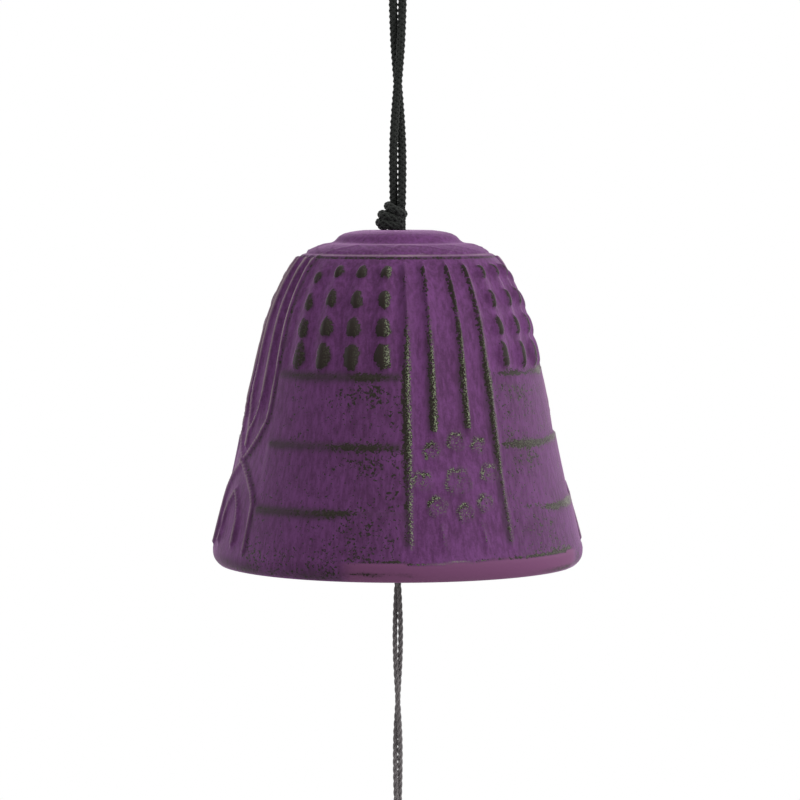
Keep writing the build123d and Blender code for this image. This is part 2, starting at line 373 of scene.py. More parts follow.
@dataclass
class Tubes:
    """Round tubes with closed ends: vertices, quads along them, triangles at their tips, and UV."""

    points: np.ndarray
    quads: np.ndarray
    tips: np.ndarray
    uv: np.ndarray

    @classmethod
    def along(cls, lines: np.ndarray, guide: np.ndarray, radius: float, sides: int) -> "Tubes":
        """Tubes of one radius along lines.

        A ring's vertex j is radius (cos a, sin a) at a = 2 pi j / sides, in the line's own two square
        directions. The rings shrink to nothing at the ends, where one more vertex closes them.

        Args:
            lines: an array of lines, points and coordinates.
            guide: the direction that angles are measured from.
            radius: the tubes' radius.
            sides: vertices to a ring.

        Returns:
            The tubes. Their u goes once round and their v is the distance in millimetres.
        """
        count, samples = lines.shape[:2]
        first, second = frames(lines, guide)
        step = np.linalg.norm(lines[:, 1:] - lines[:, :-1], axis=-1).mean()
        full = radius * np.maximum(nose(samples, step, radius), LEAST_FULLNESS)
        j = np.arange(sides)
        angle = 2 * np.pi * j / sides
        ring = np.cos(angle)[:, None] * first[:, :, None] + np.sin(angle)[:, None] * second[:, :, None]
        rings = (lines[:, :, None] + full[None, :, None, None] * ring).reshape(-1, 3)
        ends = np.stack([lines[:, 0], lines[:, -1]], 1).reshape(-1, 3)
        starts = np.arange(count)[:, None] * samples * sides
        quads = (grid_faces(samples, sides, False, True)[None] + starts[..., None]).reshape(-1, 4)
        head_tip = len(rings) + 2 * np.arange(count)[:, None]
        last = starts + (samples - 1) * sides
        head = np.stack(np.broadcast_arrays(starts + (j + 1) % sides, starts + j, head_tip), -1)
        tail = np.stack(np.broadcast_arrays(last + j, last + (j + 1) % sides, head_tip + 1), -1)
        u = np.broadcast_to(j / sides, (count, samples, sides))
        v = np.broadcast_to((np.arange(samples) * step)[None, :, None], u.shape)
        end_uv = np.tile([[0.5, 0.0], [0.5, samples * step]], (count, 1))
        uv = np.concatenate([np.stack([u, v], -1).reshape(-1, 2), end_uv])
        return cls(np.concatenate([rings, ends]), quads, np.concatenate([head, tail]).reshape(-1, 3), uv)

    @classmethod
    def joined(cls, parts: list["Tubes"]) -> "Tubes":
        """Several sets of tubes as one set.

        Args:
            parts: the sets.

        Returns:
            All their tubes, with each set's vertex numbers moved on past the sets before it.
        """
        shifts = np.cumsum([0, *(len(part.points) for part in parts[:-1])])
        return cls(
            np.concatenate([part.points for part in parts]),
            np.concatenate([part.quads + shift for part, shift in zip(parts, shifts)]),
            np.concatenate([part.tips + shift for part, shift in zip(parts, shifts)]),
            np.concatenate([part.uv for part in parts]),
        )

    def piece(self, name: str) -> bpy.types.Object:
        """The tubes as one object with a UV map.

        Args:
            name: the piece's name.

        Returns:
            The object.
        """
        made = make_mesh(name, self.points, self.quads, self.tips)
        set_uv(made, self.uv)
        return made


def cord_tubes(line: np.ndarray, guide: np.ndarray, cordage: Cordage, phase: float = 0.0) -> Tubes:
    """The strands of one length of cord, and its core where the kind has one.

    Args:
        line: points of the cord's own line, in millimetres.
        guide: the direction that angles round it are measured from.
        cordage: the kind of cord.
        phase: where the strands start round the line, in radians.

    Returns:
        The strands as one set of tubes.
    """
    even = evenly(line, cordage.step)
    strands = strand_lines(even, guide, cordage, phase)
    made = Tubes.along(strands, guide, cordage.strand_radius, cordage.sides)
    if not cordage.core_radius:
        return made
    return Tubes.joined([made, Tubes.along(even[None], guide, cordage.core_radius, cordage.sides)])


THICK = Cordage(
    diameter=1.65,
    lay_up=LayUp.BRAIDED,
    strands=8,
    strand_radius=0.30,
    rho=0.52,
    pitch=4.4,
    weave=0.08,
    core_radius=0.50,
)
THIN = Cordage(
    diameter=0.85,
    lay_up=LayUp.LAID,
    strands=3,
    strand_radius=0.235,
    rho=0.26,
    pitch=4.4,
    step=0.18,
    sides=8,
)

THROAT_Z = -15.0
HITCH_Z = -69.1
CLAPPER_KNOT_Z = -117.4

LOOP_ROUTE = (
    (-0.87, 0.0, -15.0),
    (-1.80, 0.0, -11.2),
    (-4.30, 0.0, -6.6),
    (-5.00, 0.0, -1.9),
    (-2.30, 0.0, 0.825),
    (2.30, 0.0, 0.825),
    (5.00, 0.0, -1.9),
    (4.30, 0.0, -6.6),
    (1.80, 0.0, -11.2),
    (0.87, 0.0, -15.0),
)
HANGING_LEG_ROUTE = (
    (-0.914, -0.161, 0.0),
    (-0.734, 0.568, -8.2),
    (-0.098, 0.923, -16.3),
    (0.595, 0.712, -24.4),
    (0.920, 0.048, -32.6),
    (0.692, -0.619, -40.7),
)
CLAPPER_LEG_ROUTE = (
    (0.530, 0.147, 0.0),
    (0.138, 0.533, -15.1),
    (-0.392, 0.386, -30.2),
    (-0.530, -0.147, -45.3),
)
TAIL_LEG_ROUTE = (
    (-0.498, -0.418, 0.0),
    (0.305, -0.574, -10.5),
    (0.631, 0.157, -21.0),
    (0.023, 0.650, -31.5),
    (-0.631, 0.157, -41.5),
    (-0.285, -0.584, -51.5),
)


def hung_from(height: float, route: tuple[Point, ...], side: int) -> np.ndarray:
    """A leg's control points hung from a height on the axis. Side -1 gives its twin, turned half round."""
    return np.array(route) * (side, side, 1) + (0.0, 0.0, height)


@dataclass
class CordLeg:
    """One free length of cord, from where it is held to where it ends.

    The route's control points are in millimetres. Angles round the cord are measured from the guide
    direction and start at phase, and the strands run on by tuck into what holds each end.
    """

    name: str
    node: str
    body: Body
    controls: np.ndarray
    cordage: Cordage
    guide: Point = (0.0, 1.0, 0.0)
    tuck: float = 0.6
    far_end: str = "knot"
    lay: str = "taut"
    phase: float = 0.0

    def build(self, slot: Slot, finish: bpy.types.Material) -> bpy.types.Object:
        """Args:
            slot: the record's slot.
            finish: the cord's material.

        Returns:
            The strands as one piece.
        """
        line = nurbs_line(self.name, self.controls)
        drawn = drawn_out(line, self.tuck)
        piece = cord_tubes(drawn, np.array(self.guide), self.cordage, self.phase).piece(self.name)
        place(piece, self.body, slot, finish, self.node)
        return piece


@dataclass
class TightKnot:
    """A knot drawn tight: cord wound round the legs that run through it.

    Half turn m takes the cord from side sides[m] to sides[m + 1], by half a cosine wave across, and from
    heights[m] to heights[m + 1] with the same ease, while it goes depth * sin(pi f)^0.7 in front or behind.
    Each core is a straight leg inside the winding, from its upper end to its lower end.
    """

    name: str
    node: str
    sides: tuple[float, ...]
    heights: tuple[float, ...]
    depth: float
    cores: tuple[tuple[Point, Point], ...]
    cordage: Cordage
    starts_in_front: bool = True
    half_turn_points: int = 60
    core_phase: float = 1.3

    def winding(self) -> np.ndarray:
        """The wound cord's own line.

        Returns:
            Its points in millimetres, half_turn_points to each half turn.
        """
        half_turns = len(self.sides) - 1
        u = np.linspace(0.0, float(half_turns), self.half_turn_points * half_turns + 1)
        m = np.minimum(u.astype(int), half_turns - 1)
        f = u - m
        ease = (1 - np.cos(np.pi * f)) / 2
        sides, heights = np.array(self.sides), np.array(self.heights)
        front = np.where((m % 2 == 0) == self.starts_in_front, -1.0, 1.0)
        x = sides[m] + (sides[m + 1] - sides[m]) * ease
        z = heights[m] + (heights[m + 1] - heights[m]) * ease
        return np.column_stack([x, front * self.depth * np.abs(np.sin(np.pi * f)) ** 0.7, z])

    def build(
        self, body: Body, slot: Slot, finish: bpy.types.Material, extra: tuple[Tubes, ...] = ()
    ) -> bpy.types.Object:
        """Makes the winding and the legs inside it as one piece.

        Args:
            body: the body that the knot moves with.
            slot: the record's slot.
            finish: the cord's material.
            extra: more lengths of the same cord that belong to the knot.

        Returns:
            The knot.
        """
        up, across = np.array((0.0, 0.0, 1.0)), np.array((0.0, 1.0, 0.0))
        parts = [cord_tubes(self.winding(), up, self.cordage)]
        for core in self.cores:
            leg = np.linspace(*core, self.half_turn_points)
            parts.append(cord_tubes(leg, across, self.cordage, phase=self.core_phase))
        piece = Tubes.joined([*parts, *extra]).piece(self.name)
        place(piece, body, slot, finish, self.node)
        return piece


def ring_line(centre_z: float, radius: float) -> np.ndarray:
    """A circle across the front-to-back plane, from its top and once round: (0, r sin a, z + r cos a)."""
    a = np.linspace(0.0, 2 * np.pi, RING_POINTS)
    return np.column_stack([np.zeros_like(a), radius * np.sin(a), centre_z + radius * np.cos(a)])


CROWN_KNOT = TightKnot(
    "crown_knot_turns",
    "crown_knot",
    sides=(0.5, -1.8, 1.0, -3.0, 0.55, -3.4, 0.65, -3.0, 0.2),
    heights=(-55.3, -55.4, -56.9, -57.0, -58.1, -58.5, -59.0, -59.05, -59.05),
    depth=1.75,
    cores=(
        ((0.692, -0.619, -55.5), (0.692, -0.619, -64.4)),
        ((-0.692, 0.619, -55.5), (-0.692, 0.619, -64.4)),
    ),
    cordage=THICK,
    starts_in_front=False,
)
STOPPER_KNOT = TightKnot(
    "stopper_knot_turns",
    "stopper_knot",
    sides=(-0.9, 1.9, -2.05, 2.1, -2.0, 1.6, -0.6),
    heights=(-64.0, -64.15, -64.3, -64.9, -65.4, -65.7, -65.7),
    depth=1.95,
    cores=(
        ((0.7, -0.4, -63.8), (0.6, -0.3, -66.2)),
        ((-0.7, 0.4, -63.8), (-0.6, 0.3, -66.2)),
    ),
    cordage=THICK,
)
CLAPPER_HITCH = TightKnot(
    "clapper_hitch_turns",
    "clapper_hitch",
    sides=(-0.5, 1.2, -1.25, 1.2, -1.2, 1.15, -1.0, 0.4),
    heights=(-67.1, -67.15, -67.3, -67.6, -67.9, -68.2, -68.35, -68.4),
    depth=1.15,
    cores=(
        ((0.45, 0.12, -66.9), (0.53, 0.147, -69.3)),
        ((-0.45, -0.12, -66.9), (-0.53, -0.147, -69.3)),
    ),
    cordage=THIN,
)
CLAPPER_KNOT = TightKnot(
    "clapper_knot_turns",
    "clapper_knot",
    sides=(-0.6, 2.0, -2.2, 2.25, -2.2, 2.1, -2.0, 1.7, -1.5, 1.0, -0.3),
    heights=(-114.9, -114.9, -114.95, -115.2, -115.5, -115.8, -116.05, -116.3, -116.4, -116.45, -116.4),
    depth=2.05,
    cores=(
        ((0.53, 0.147, -114.2), (0.498, 0.418, -117.6)),
        ((-0.53, -0.147, -114.2), (-0.498, -0.418, -117.6)),
        ((1.2, -0.7, -115.0), (0.9, -0.6, -116.2)),
        ((-1.2, 0.7, -115.0), (-0.9, 0.6, -116.2)),
    ),
    cordage=THIN,
)
TAIL_KNOT = TightKnot(
    "tail_knot_turns",
    "tail_knot",
    sides=(0.4, -1.0, 1.05, -1.05, 1.05, -1.0, 0.5),
    heights=(-169.5, -169.6, -169.9, -170.2, -170.6, -170.9, -171.0),
    depth=1.0,
    cores=(
        ((-0.28, -0.58, -168.7), (-0.1, -0.35, -171.3)),
        ((0.28, 0.58, -168.7), (0.1, 0.35, -171.3)),
    ),
    cordage=THIN,
)


# The bell


@dataclass
class Relief:
    """What stands on the bell's side at each place, all as arrays of one shape.

    height is millimetres proud of the side. rub is how far the paint is worn down to the dark metal, glint
    how much of that metal is given a painted highlight, grime how far thin dark paint lets the metal show
    softly, and on the ridges' left flanks it is painted shade, crest how far a sharp edge has a pale painted
    highlight, and lip is 1 on the smooth band round the mouth.
    """

    height: np.ndarray
    rub: np.ndarray
    glint: np.ndarray
    grime_and_shade: np.ndarray
    crest: np.ndarray
    lip: np.ndarray

    @classmethod
    def flat(cls, shape: tuple[int, ...]) -> "Relief":
        """Bare paint everywhere."""
        return cls(*(np.zeros(shape) for _ in range(6)))

    def raise_by(
        self,
        height: np.ndarray | float = 0.0,
        rub: np.ndarray | float = 0.0,
        glint: np.ndarray | float = 0.0,
        grime_and_shade: np.ndarray | float = 0.0,
        crest: np.ndarray | float = 0.0,
    ) -> None:
        """Adds to the height, and deepens the wear, glint, grime and crests where they are less.

        Args:
            height: millimetres to add.
            rub: wear through the paint, from 0 to about 1.
            glint: a painted highlight on worn metal, from 0 to about 1.
            grime_and_shade: thin dark paint, and painted shade on the ridges' left flanks, from 0 to about 1.
            crest: a pale painted highlight on a sharp edge, from 0 to about 1.
        """
        self.height += height
        self.rub = np.maximum(self.rub, rub)
        self.glint = np.maximum(self.glint, glint)
        self.grime_and_shade = np.maximum(self.grime_and_shade, grime_and_shade)
        self.crest = np.maximum(self.crest, crest)


@dataclass
class BellCasting:
    """The bell: one outline turned about the axis, with its ornament raised along the outline's normal.

    The outlines' stations are (share of the radius, share of the height). A nub row is (share of the
    height, tall, wide), a zone of rows is (share that it ends at, spacing), and a line of an arch has
    (degrees off the arch band's middle, share) stations. A blossom is (degrees off the ridge band's middle,
    depth, size, turn, wear) and a stem is (degrees, share where it starts). A crest's form is a sum of soft
    bumps, each (height, half width). Names that end in high or deep are heights and depths of the relief.
    """

    radius: float = 35.0
    height: float = 63.1
    crown_z: float = -59.9
    outline_step: float = 0.04
    crown_soft: float = 0.16
    side_soft: float = 2.0
    fine_column: float = 0.50
    plain_column: float = 0.82
    outer_rows: tuple[Station, ...] = ((0.008, 1.1), (0.1, 0.35), (0.425, 0.48), (0.93, 0.56), (1.1, 0.42))
    inner_row: float = 4.2
    tier_shares: Station = (0.041, 0.069)
    stroke_high: float = 0.11
    boss_line_share: float = 0.0400
    bead_share: float = 0.0706
    under_bead_share: float = 0.0775
    under_bead_deep: float = 0.08
    band_deg: float = 20.3
    ridge_degs: tuple[float, float] = (16.4, 6.5)
    ridge_form: tuple[Station, ...] = ((0.34, 0.36), (0.26, 0.95))
    flute_deep: float = 0.34
    arch_degs: tuple[float, float] = (14.0, 6.0)
    arch_form: tuple[Station, ...] = ((0.44, 0.28), (0.30, 0.80))
    arch_flute_deep: float = 0.48
    arch_reach_deg: float = 16.3
    arch_lines: tuple[tuple[Station, ...], ...] = (
        ((14.0, 0.086), (14.0, 0.50), (13.2, 0.548), (9.5, 0.602), (4.5, 0.645), (0.0, 0.675)),
        ((6.0, 0.086), (6.0, 0.47), (5.1, 0.515), (2.8, 0.558), (0.0, 0.590), (0.0, 0.632)),
        ((14.8, 0.930), (14.5, 0.80), (12.2, 0.762), (7.0, 0.718), (0.0, 0.680)),
        ((6.6, 0.918), (6.2, 0.845), (4.2, 0.802), (0.0, 0.765)),
    )
    panel_off_deg: float = 46.2
    panel_half_deg: float = 29.8
    fold_high: float = 0.52
    nub_pitch_deg: float = 12.7
    nub_high: float = 0.80
    outer_nub_high: float = 0.38
    outer_nub_drops: tuple[float, ...] = (1.1, 0.7, 0.3, 0.1)
    nub_rows: tuple[tuple[float, float, float], ...] = (
        (0.119, 2.4, 2.1),
        (0.198, 3.6, 2.4),
        (0.279, 4.0, 2.9),
        (0.360, 5.3, 3.2),
    )
    ledges: tuple[float, float, float] = (0.414, 0.615, 0.802)
    last_ledge_foot: float = 0.960
    ledge_high: float = 0.40
    ledge_wear: tuple[tuple[float, float, float], ...] = (
        (14.0, 7.0, 0.45),
        (14.0, 13.0, 0.85),
        (6.0, 9.0, 0.15),
    )
    blossoms: tuple[tuple[float, float, float, float, float], ...] = (
        (-8.3, 39.6, 1.75, 0.2, 0.9),
        (0.9, 38.0, 1.9, 2.8, 0.8),
        (9.6, 38.9, 1.7, 2.2, 0.7),
        (-12.0, 45.0, 2.0, 2.4, 0.6),
        (0.4, 45.2, 2.9, 3.3, 0.5),
        (12.4, 44.0, 2.0, 2.6, 0.5),
        (-7.4, 49.6, 2.1, 0.6, 0.8),
        (2.0, 50.8, 1.8, 0.3, 0.8),
        (9.4, 49.2, 1.8, 0.9, 0.6),
    )
    petal_high: float = 0.14
    heart_high: float = 0.06
    disc_high: float = 0.16
    stems: tuple[Station, ...] = ((-6.2, 0.815), (7.6, 0.810))
    stem_high: float = 0.28
    lip_share: float = 0.940
    lip_high: float = 0.21
    crown_outline: tuple[Station, ...] = (
        (0.0686, 0.0),
        (0.200, 0.001),
        (0.250, 0.005),
        (0.290, 0.0105),
        (0.318, 0.019),
        (0.338, 0.032),
        (0.356, 0.0375),
        (0.398, 0.0410),
        (0.431, 0.0470),
        (0.456, 0.0530),
        (0.477, 0.0600),
        (0.4890, 0.0655),
        (0.4910, 0.0695),
        (0.5080, 0.0715),
        (0.5200, 0.0745),
        (0.5230, 0.0800),
        (0.5370, 0.0880),
    )
    side_outline: tuple[Station, ...] = (
        (0.575, 0.112),
        (0.610, 0.143),
        (0.669, 0.212),
        (0.714, 0.287),
        (0.785, 0.468),
        (0.857, 0.650),
        (0.925, 0.800),
        (0.984, 0.925),
    )
    lip_outline: tuple[Station, ...] = (
        (1.0000, 0.948),
        (1.0000, 0.966),
        (0.9930, 0.979),
        (0.9790, 0.990),
        (0.9620, 0.998),
        (0.9400, 0.998),
        (0.9300, 0.990),
    )
    inner_outline: tuple[Station, ...] = (
        (0.910, 0.935),
        (0.783, 0.650),
        (0.640, 0.287),
        (0.560, 0.168),
        (0.423, 0.086),
        (0.310, 0.0507),
        (0.0686, 0.0507),
    )

    def outline(self) -> tuple[np.ndarray, np.ndarray, np.ndarray]:
        """The closed outline, crown to lip and back up inside, softened as a casting is.

        The stations are joined by straight runs, sampled at every outline_step, and averaged along the line
        with a Gaussian weight, narrow at the crown and the lip and wide down the side.

        Returns:
            The run of each sample, and its radius and depth below the crown, all in millimetres.
        """
        stations = np.array(self.crown_outline + self.side_outline + self.lip_outline + self.inner_outline)
        corners = stations * (self.radius, self.height)
        corners = np.vstack([corners, corners[:1]])
        run = run_of(corners)
        along = np.arange(0.0, run[-1], self.outline_step)
        line = sampled(corners, run, along)
        fine, wide = (softened(line, soft / self.outline_step) for soft in (self.crown_soft, self.side_soft))
        first = len(self.crown_outline)
        last = first + len(self.side_outline) - 1
        weight = smoothstep(along, run[first - 1], run[first + 1])
        weight *= 1 - smoothstep(along, run[last - 1], run[last])
        line = fine + weight[:, None] * (wide - fine)
        return along, line[:, 0], line[:, 1]

    def columns(self) -> np.ndarray:
        """The angles of the grid's columns, closer together where the ornament is fine.

        Returns:
            Degrees from the front, from 0 and once round.
        """
        angle = np.arange(0.0, 360.0, 0.05)
        off = np.abs(wrapped(angle - self.band_deg, 180.0))
        in_band = (off < self.ridge_degs[0] + 1.8) | (off > 90.0 - self.arch_reach_deg)
        return spaced(1 / np.where(in_band, self.fine_column, self.plain_column), angle)

    def rows(self, along: np.ndarray, depth: np.ndarray) -> np.ndarray:
        """Where the grid's rows lie along the outline, closer together where the ornament is fine.

        Args:
            along: the run of each of the outline's samples.
            depth: the depth of each below the crown.

        Returns:
            The run of each row, in millimetres.
        """
        share = depth / self.height
        outside = along < along[np.argmax(depth)] + 1.5
        zones = [outside & (share < end) for end, _ in self.outer_rows]
        spacing = np.select(zones, [cell for _, cell in self.outer_rows], self.inner_row)
        return spaced(1 / spacing, along)

    def side_radius(self, share: np.ndarray) -> np.ndarray:
        """The side's radius at a share of its height, in millimetres."""
        stations = np.array(self.crown_outline[-1:] + self.side_outline + self.lip_outline[:1])
        return self.radius * np.interp(share, stations[:, 1], stations[:, 0])

    def across(self, share: np.ndarray, degrees: np.ndarray | float) -> np.ndarray:
        """The distance round the side that an angle spans at a share of the height, in millimetres."""
        return self.side_radius(share) * np.radians(degrees)

    @staticmethod
    def wavering(angle: np.ndarray, share: np.ndarray, seed: float) -> np.ndarray:
        """A slow hand-made unevenness: a sum of three sine waves over angle and share.

        Args:
            angle: degrees from the front.
            share: share of the height below the crown.
            seed: a number that gives each use its own waves.

        Returns:
            Values from -1 to 1.
        """
        turn = np.radians(angle)
        return (
            0.45 * np.sin(3 * turn + 11 * share + seed)
            + 0.33 * np.sin(7 * turn - 19 * share + 2.1 * seed)
            + 0.22 * np.sin(13 * turn + 37 * share + 3.7 * seed)
        )

    def relief(self, angle: np.ndarray, share: np.ndarray) -> Relief:
        """The ornament at each angle and share of the outer side.

        Args:
            angle: degrees from the front.
            share: share of the height below the crown.

        Returns:
            The relief that all the ornament makes together.
        """
        made = Relief.flat(share.shape)
        off = wrapped(angle - self.band_deg, 180.0)
        self.carve_tier(made, angle, share)
        self.carve_ridges(made, angle, off, share)
        self.carve_arches(made, angle, wrapped(off + 90.0, 180.0), share)
        self.carve_panels(made, angle, off, share)
        self.carve_blossoms(made, off, share)
        self.carve_lip(made, angle, share)
        return made

    def carve_tier(self, made: Relief, angle: np.ndarray, share: np.ndarray) -> None:
        """Slanting strokes on the tier, each a crest along angle = start + slant * share with a painted
        highlight on one side, and the bead, made pale by a painted highlight.

        Args:
            made: the relief that is added to.
            angle: degrees from the front.
            share: share of the height below the crown.
        """
        top, foot = self.tier_shares
        on_tier = smoothstep(share, top - 0.003, top + 0.003)
        on_tier = on_tier * (1 - smoothstep(share, foot - 0.003, foot + 0.003))
        waver = self.wavering(angle, share, 1.0)
        for slant, pitch, width in ((1150.0, 26.0, 1.5), (-700.0, 41.0, 2.1)):
            stroke = wrapped(angle - slant * (share - 0.05) + 7.0 * waver, pitch)
            made.raise_by(
                self.stroke_high * on_tier * bump(stroke, width),
                crest=0.34 * on_tier * bump(stroke - 0.9, 0.7 * width),
            )
        line = bump((share - self.boss_line_share) * self.height, 0.16)
        bead = bump((share - self.bead_share) * self.height, 0.20)
        under = bump((share - self.under_bead_share) * self.height, 0.26)
        # Painted highlights along the boss line and the bead.
        made.raise_by(crest=0.42 * line * (0.75 + 0.4 * waver))
        made.raise_by(crest=0.66 * bead * (0.85 + 0.25 * waver))
        made.raise_by(-self.under_bead_deep * under, rub=under * (0.90 + 0.14 * waver), grime_and_shade=0.8 * under)

    def carve_ridges(self, made: Relief, angle: np.ndarray, off: np.ndarray, share: np.ndarray) -> None:
        """The ridge band: four thin crests with hollow flutes between them, each with a painted highlight on
        its right flank and painted shade on its left.

        A ridge is (degrees off the band's middle, share where it ends, wear at its top, degrees aside).

        Args:
            made: the relief that is added to.
            angle: degrees from the front.
            off: degrees from the band's middle.
            share: share of the height below the crown.
        """
        outer, inner = self.ridge_degs
        top = smoothstep(share, 0.080, 0.112)
        inside = (np.abs(off) < outer) * top * (1 - smoothstep(share, 0.57, 0.68))
        made.raise_by(-self.flute_deep * self.flutes(off, outer, inner) * inside)
        ridges = (
            (-outer, 0.915, 0.56, -0.1),
            (-inner, 0.590, 0.72, -0.4),
            (inner, 0.585, 0.92, -0.3),
            (outer, 0.915, 0.90, 0.7),
        )
        for ridge, foot, worn_top, aside in ridges:
            d = self.across(share, off - ridge - aside) + 0.12 * self.wavering(angle, share, ridge)
            here = top * (1 - smoothstep(share, foot - 0.03, foot))
            worn = worn_top + (1.0 - worn_top) * smoothstep(share, 0.22, 0.42)
            feet = smoothstep(share, 0.58, 0.80)
            worn -= 0.40 * feet + 0.10 * (0.5 + 0.5 * self.wavering(2 * angle, share, 6.0 + ridge))
            lower = smoothstep(share, 0.26, 0.44)
            wide = 0.72 + 0.20 * lower - 0.24 * feet
            flank = bump(d + 0.55, 0.75) * lower if ridge == -outer else 0.0
            # lit sets how strong the painted highlight on a ridge's right flank is.
            lit = (0.75 if ridge == outer else 1.3) * smoothstep(share, 0.16, 0.42)
            # glint on the right flank and crest right of the right outer ridge are painted highlights; grime
            # on the left flank is painted shade.
            made.raise_by(
                here * self.crest_form(d, self.ridge_form) * (1 - 0.35 * feet),
                rub=here * np.maximum(worn * bump(d + 0.08, wide), worn * flank),
                grime_and_shade=here * (0.35 + 0.35 * lower) * bump(d + 0.35, 1.25),
                glint=here * bump(d - 0.24, 0.44) * lit,
                crest=0.42 * here * bump(d - 0.75, 0.26) * (ridge == outer),
            )

    @staticmethod
    def crest_form(distance: np.ndarray, form: tuple[Station, ...]) -> np.ndarray:
        """A crest's height at a distance from its line: the sum of its form's soft bumps."""
        return np.sum([height * bump(distance, half_width) for height, half_width in form], axis=0)

    @staticmethod
    def flutes(off: np.ndarray, outer: float, inner: float) -> np.ndarray:
        """Three hollows side by side, each 1 - f^2 deep, where f goes from -1 to 1 across it.

        Args:
            off: degrees from the middle of the three.
            outer: degrees to the outer edge of the outer hollows.
            inner: degrees to the edges of the middle one.

        Returns:
            Depths from 0 at each edge to 1.
        """
        middle, half = (outer + inner) / 2, (outer - inner) / 2
        centre = 1 - (off / inner) ** 2
        beside = 1 - ((np.abs(off) - middle) / half) ** 2
        return np.clip(np.where(np.abs(off) < inner, centre, beside), 0.0, 1.0)

    def carve_arches(self, made: Relief, angle: np.ndarray, off: np.ndarray, share: np.ndarray) -> None:
        """The arch band: nested pointed arches, crests along lines drawn on the side and mirrored, each crest
        with a pale painted highlight along it.

        Args:
            made: the relief that is added to.
            angle: degrees from the front.
            off: degrees from the band's middle.
            share: share of the height below the crown.
        """
        x, y = self.across(share, np.abs(off)), share * self.height
        for number, line in enumerate(self.arch_lines):
            d = self.to_line(x, y, line) + 0.07 * self.wavering(angle, share, 5.0 + number)
            panel_side = bump(d - 0.75, 0.62) * (x > 0.8) * (number in (0, 2))
            panel_side = panel_side * self.outside_of(x, line, share)
            # crest: a painted highlight along each arch line.
            made.raise_by(
                self.crest_form(d, self.arch_form),
                rub=0.50 * panel_side,
                grime_and_shade=0.62 * panel_side,
                crest=(0.92 - 0.20 * (number > 1)) * bump(d, 0.24),
            )
        outer, inner = self.arch_degs
        upper, lower = 1 - smoothstep(share, 0.50, 0.60), smoothstep(share, 0.80, 0.88)
        within = (np.abs(off) < outer) * smoothstep(share, 0.086, 0.105) * np.maximum(upper, 0.6 * lower)
        within = within * (1 - smoothstep(share, 0.90, 0.925))
        made.raise_by(-self.arch_flute_deep * self.flutes(off, outer, inner) * within)

    def to_line(self, x: np.ndarray, y: np.ndarray, line: tuple[Station, ...]) -> np.ndarray:
        """The least distance from points to a line drawn on the side.

        Args:
            x: distances round the side from the band's middle, in millimetres.
            y: depths below the crown, in millimetres.
            line: (degrees, share) stations of the line.

        Returns:
            For each point the distance to the nearest place on any of the line's runs.
        """
        stations = np.array(line)
        xs, ys = self.across(stations[:, 1], stations[:, 0]), stations[:, 1] * self.height
        least = np.full(x.shape, np.inf)
        for x0, y0, x1, y1 in zip(xs, ys, xs[1:], ys[1:]):
            run = (x1 - x0) ** 2 + (y1 - y0) ** 2
            t = np.clip(((x - x0) * (x1 - x0) + (y - y0) * (y1 - y0)) / run, 0.0, 1.0)
            least = np.minimum(least, np.hypot(x - x0 - t * (x1 - x0), y - y0 - t * (y1 - y0)))
        return least

    def outside_of(self, x: np.ndarray, line: tuple[Station, ...], share: np.ndarray) -> np.ndarray:
        """1 where a point lies further from the band's middle than a line, at the same share, and else 0."""
        stations = np.array(sorted(line, key=lambda station: station[1]))
        return (x > self.across(share, np.interp(share, stations[:, 1], stations[:, 0]))).astype(float)

    def carve_panels(self, made: Relief, angle: np.ndarray, off: np.ndarray, share: np.ndarray) -> None:
        """The plain panels: upright folds that carry seed-shaped nubs, and below them three ledges.

        Args:
            made: the relief that is added to.
            angle: degrees from the front.
            off: degrees from the ridge band's middle.
            share: share of the height below the crown.
        """
        off_p = np.abs(off) - self.panel_off_deg
        edge = 1 - smoothstep(np.abs(off_p), self.panel_half_deg - 4.0, self.panel_half_deg - 0.6)
        side = np.sign(off)
        self.carve_nubs(made, off_p, side, share)
        self.carve_ledges(made, angle, off_p, side, share, edge)
        self.wear_panels(made, off_p, side, share, edge)

    def carve_nubs(self, made: Relief, off_p: np.ndarray, side: np.ndarray, share: np.ndarray) -> None:
        """The upright folds of the panels, and the rows of nubs on them, with painted highlights on their
        right sides.

        A fold is a cosine wave across, one to a column. A nub is H (1 - q)^0.7 high with
        q = (x / w)^2 + |y / l|^2.3, and its outline and place are a little different from nub to nub.

        Args:
            made: the relief that is added to.
            off_p: degrees from the panel's middle, positive away from the ridge band.
            side: 1 in the panels to the right of a ridge band and -1 in those to its left.
            share: share of the height below the crown.
        """
        from_middle = off_p + 0.1 - 0.7 * side
        reach = 2 * self.nub_pitch_deg
        to_column = wrapped(from_middle - self.nub_pitch_deg / 2, self.nub_pitch_deg)
        has_column = np.abs(from_middle) < reach
        fold_zone = smoothstep(share, 0.082, 0.13) * (1 - smoothstep(share, 0.385, 0.412))
        fold_zone = fold_zone * (1 - smoothstep(np.abs(from_middle), reach, reach + 2.4))
        fold = np.where(has_column, 0.5 + 0.5 * np.cos(2 * np.pi * to_column / self.nub_pitch_deg), 0.0)
        rightward = side * self.across(share, to_column)
        far = smoothstep(off_p, 0.0, 20.0) * (side > 0)
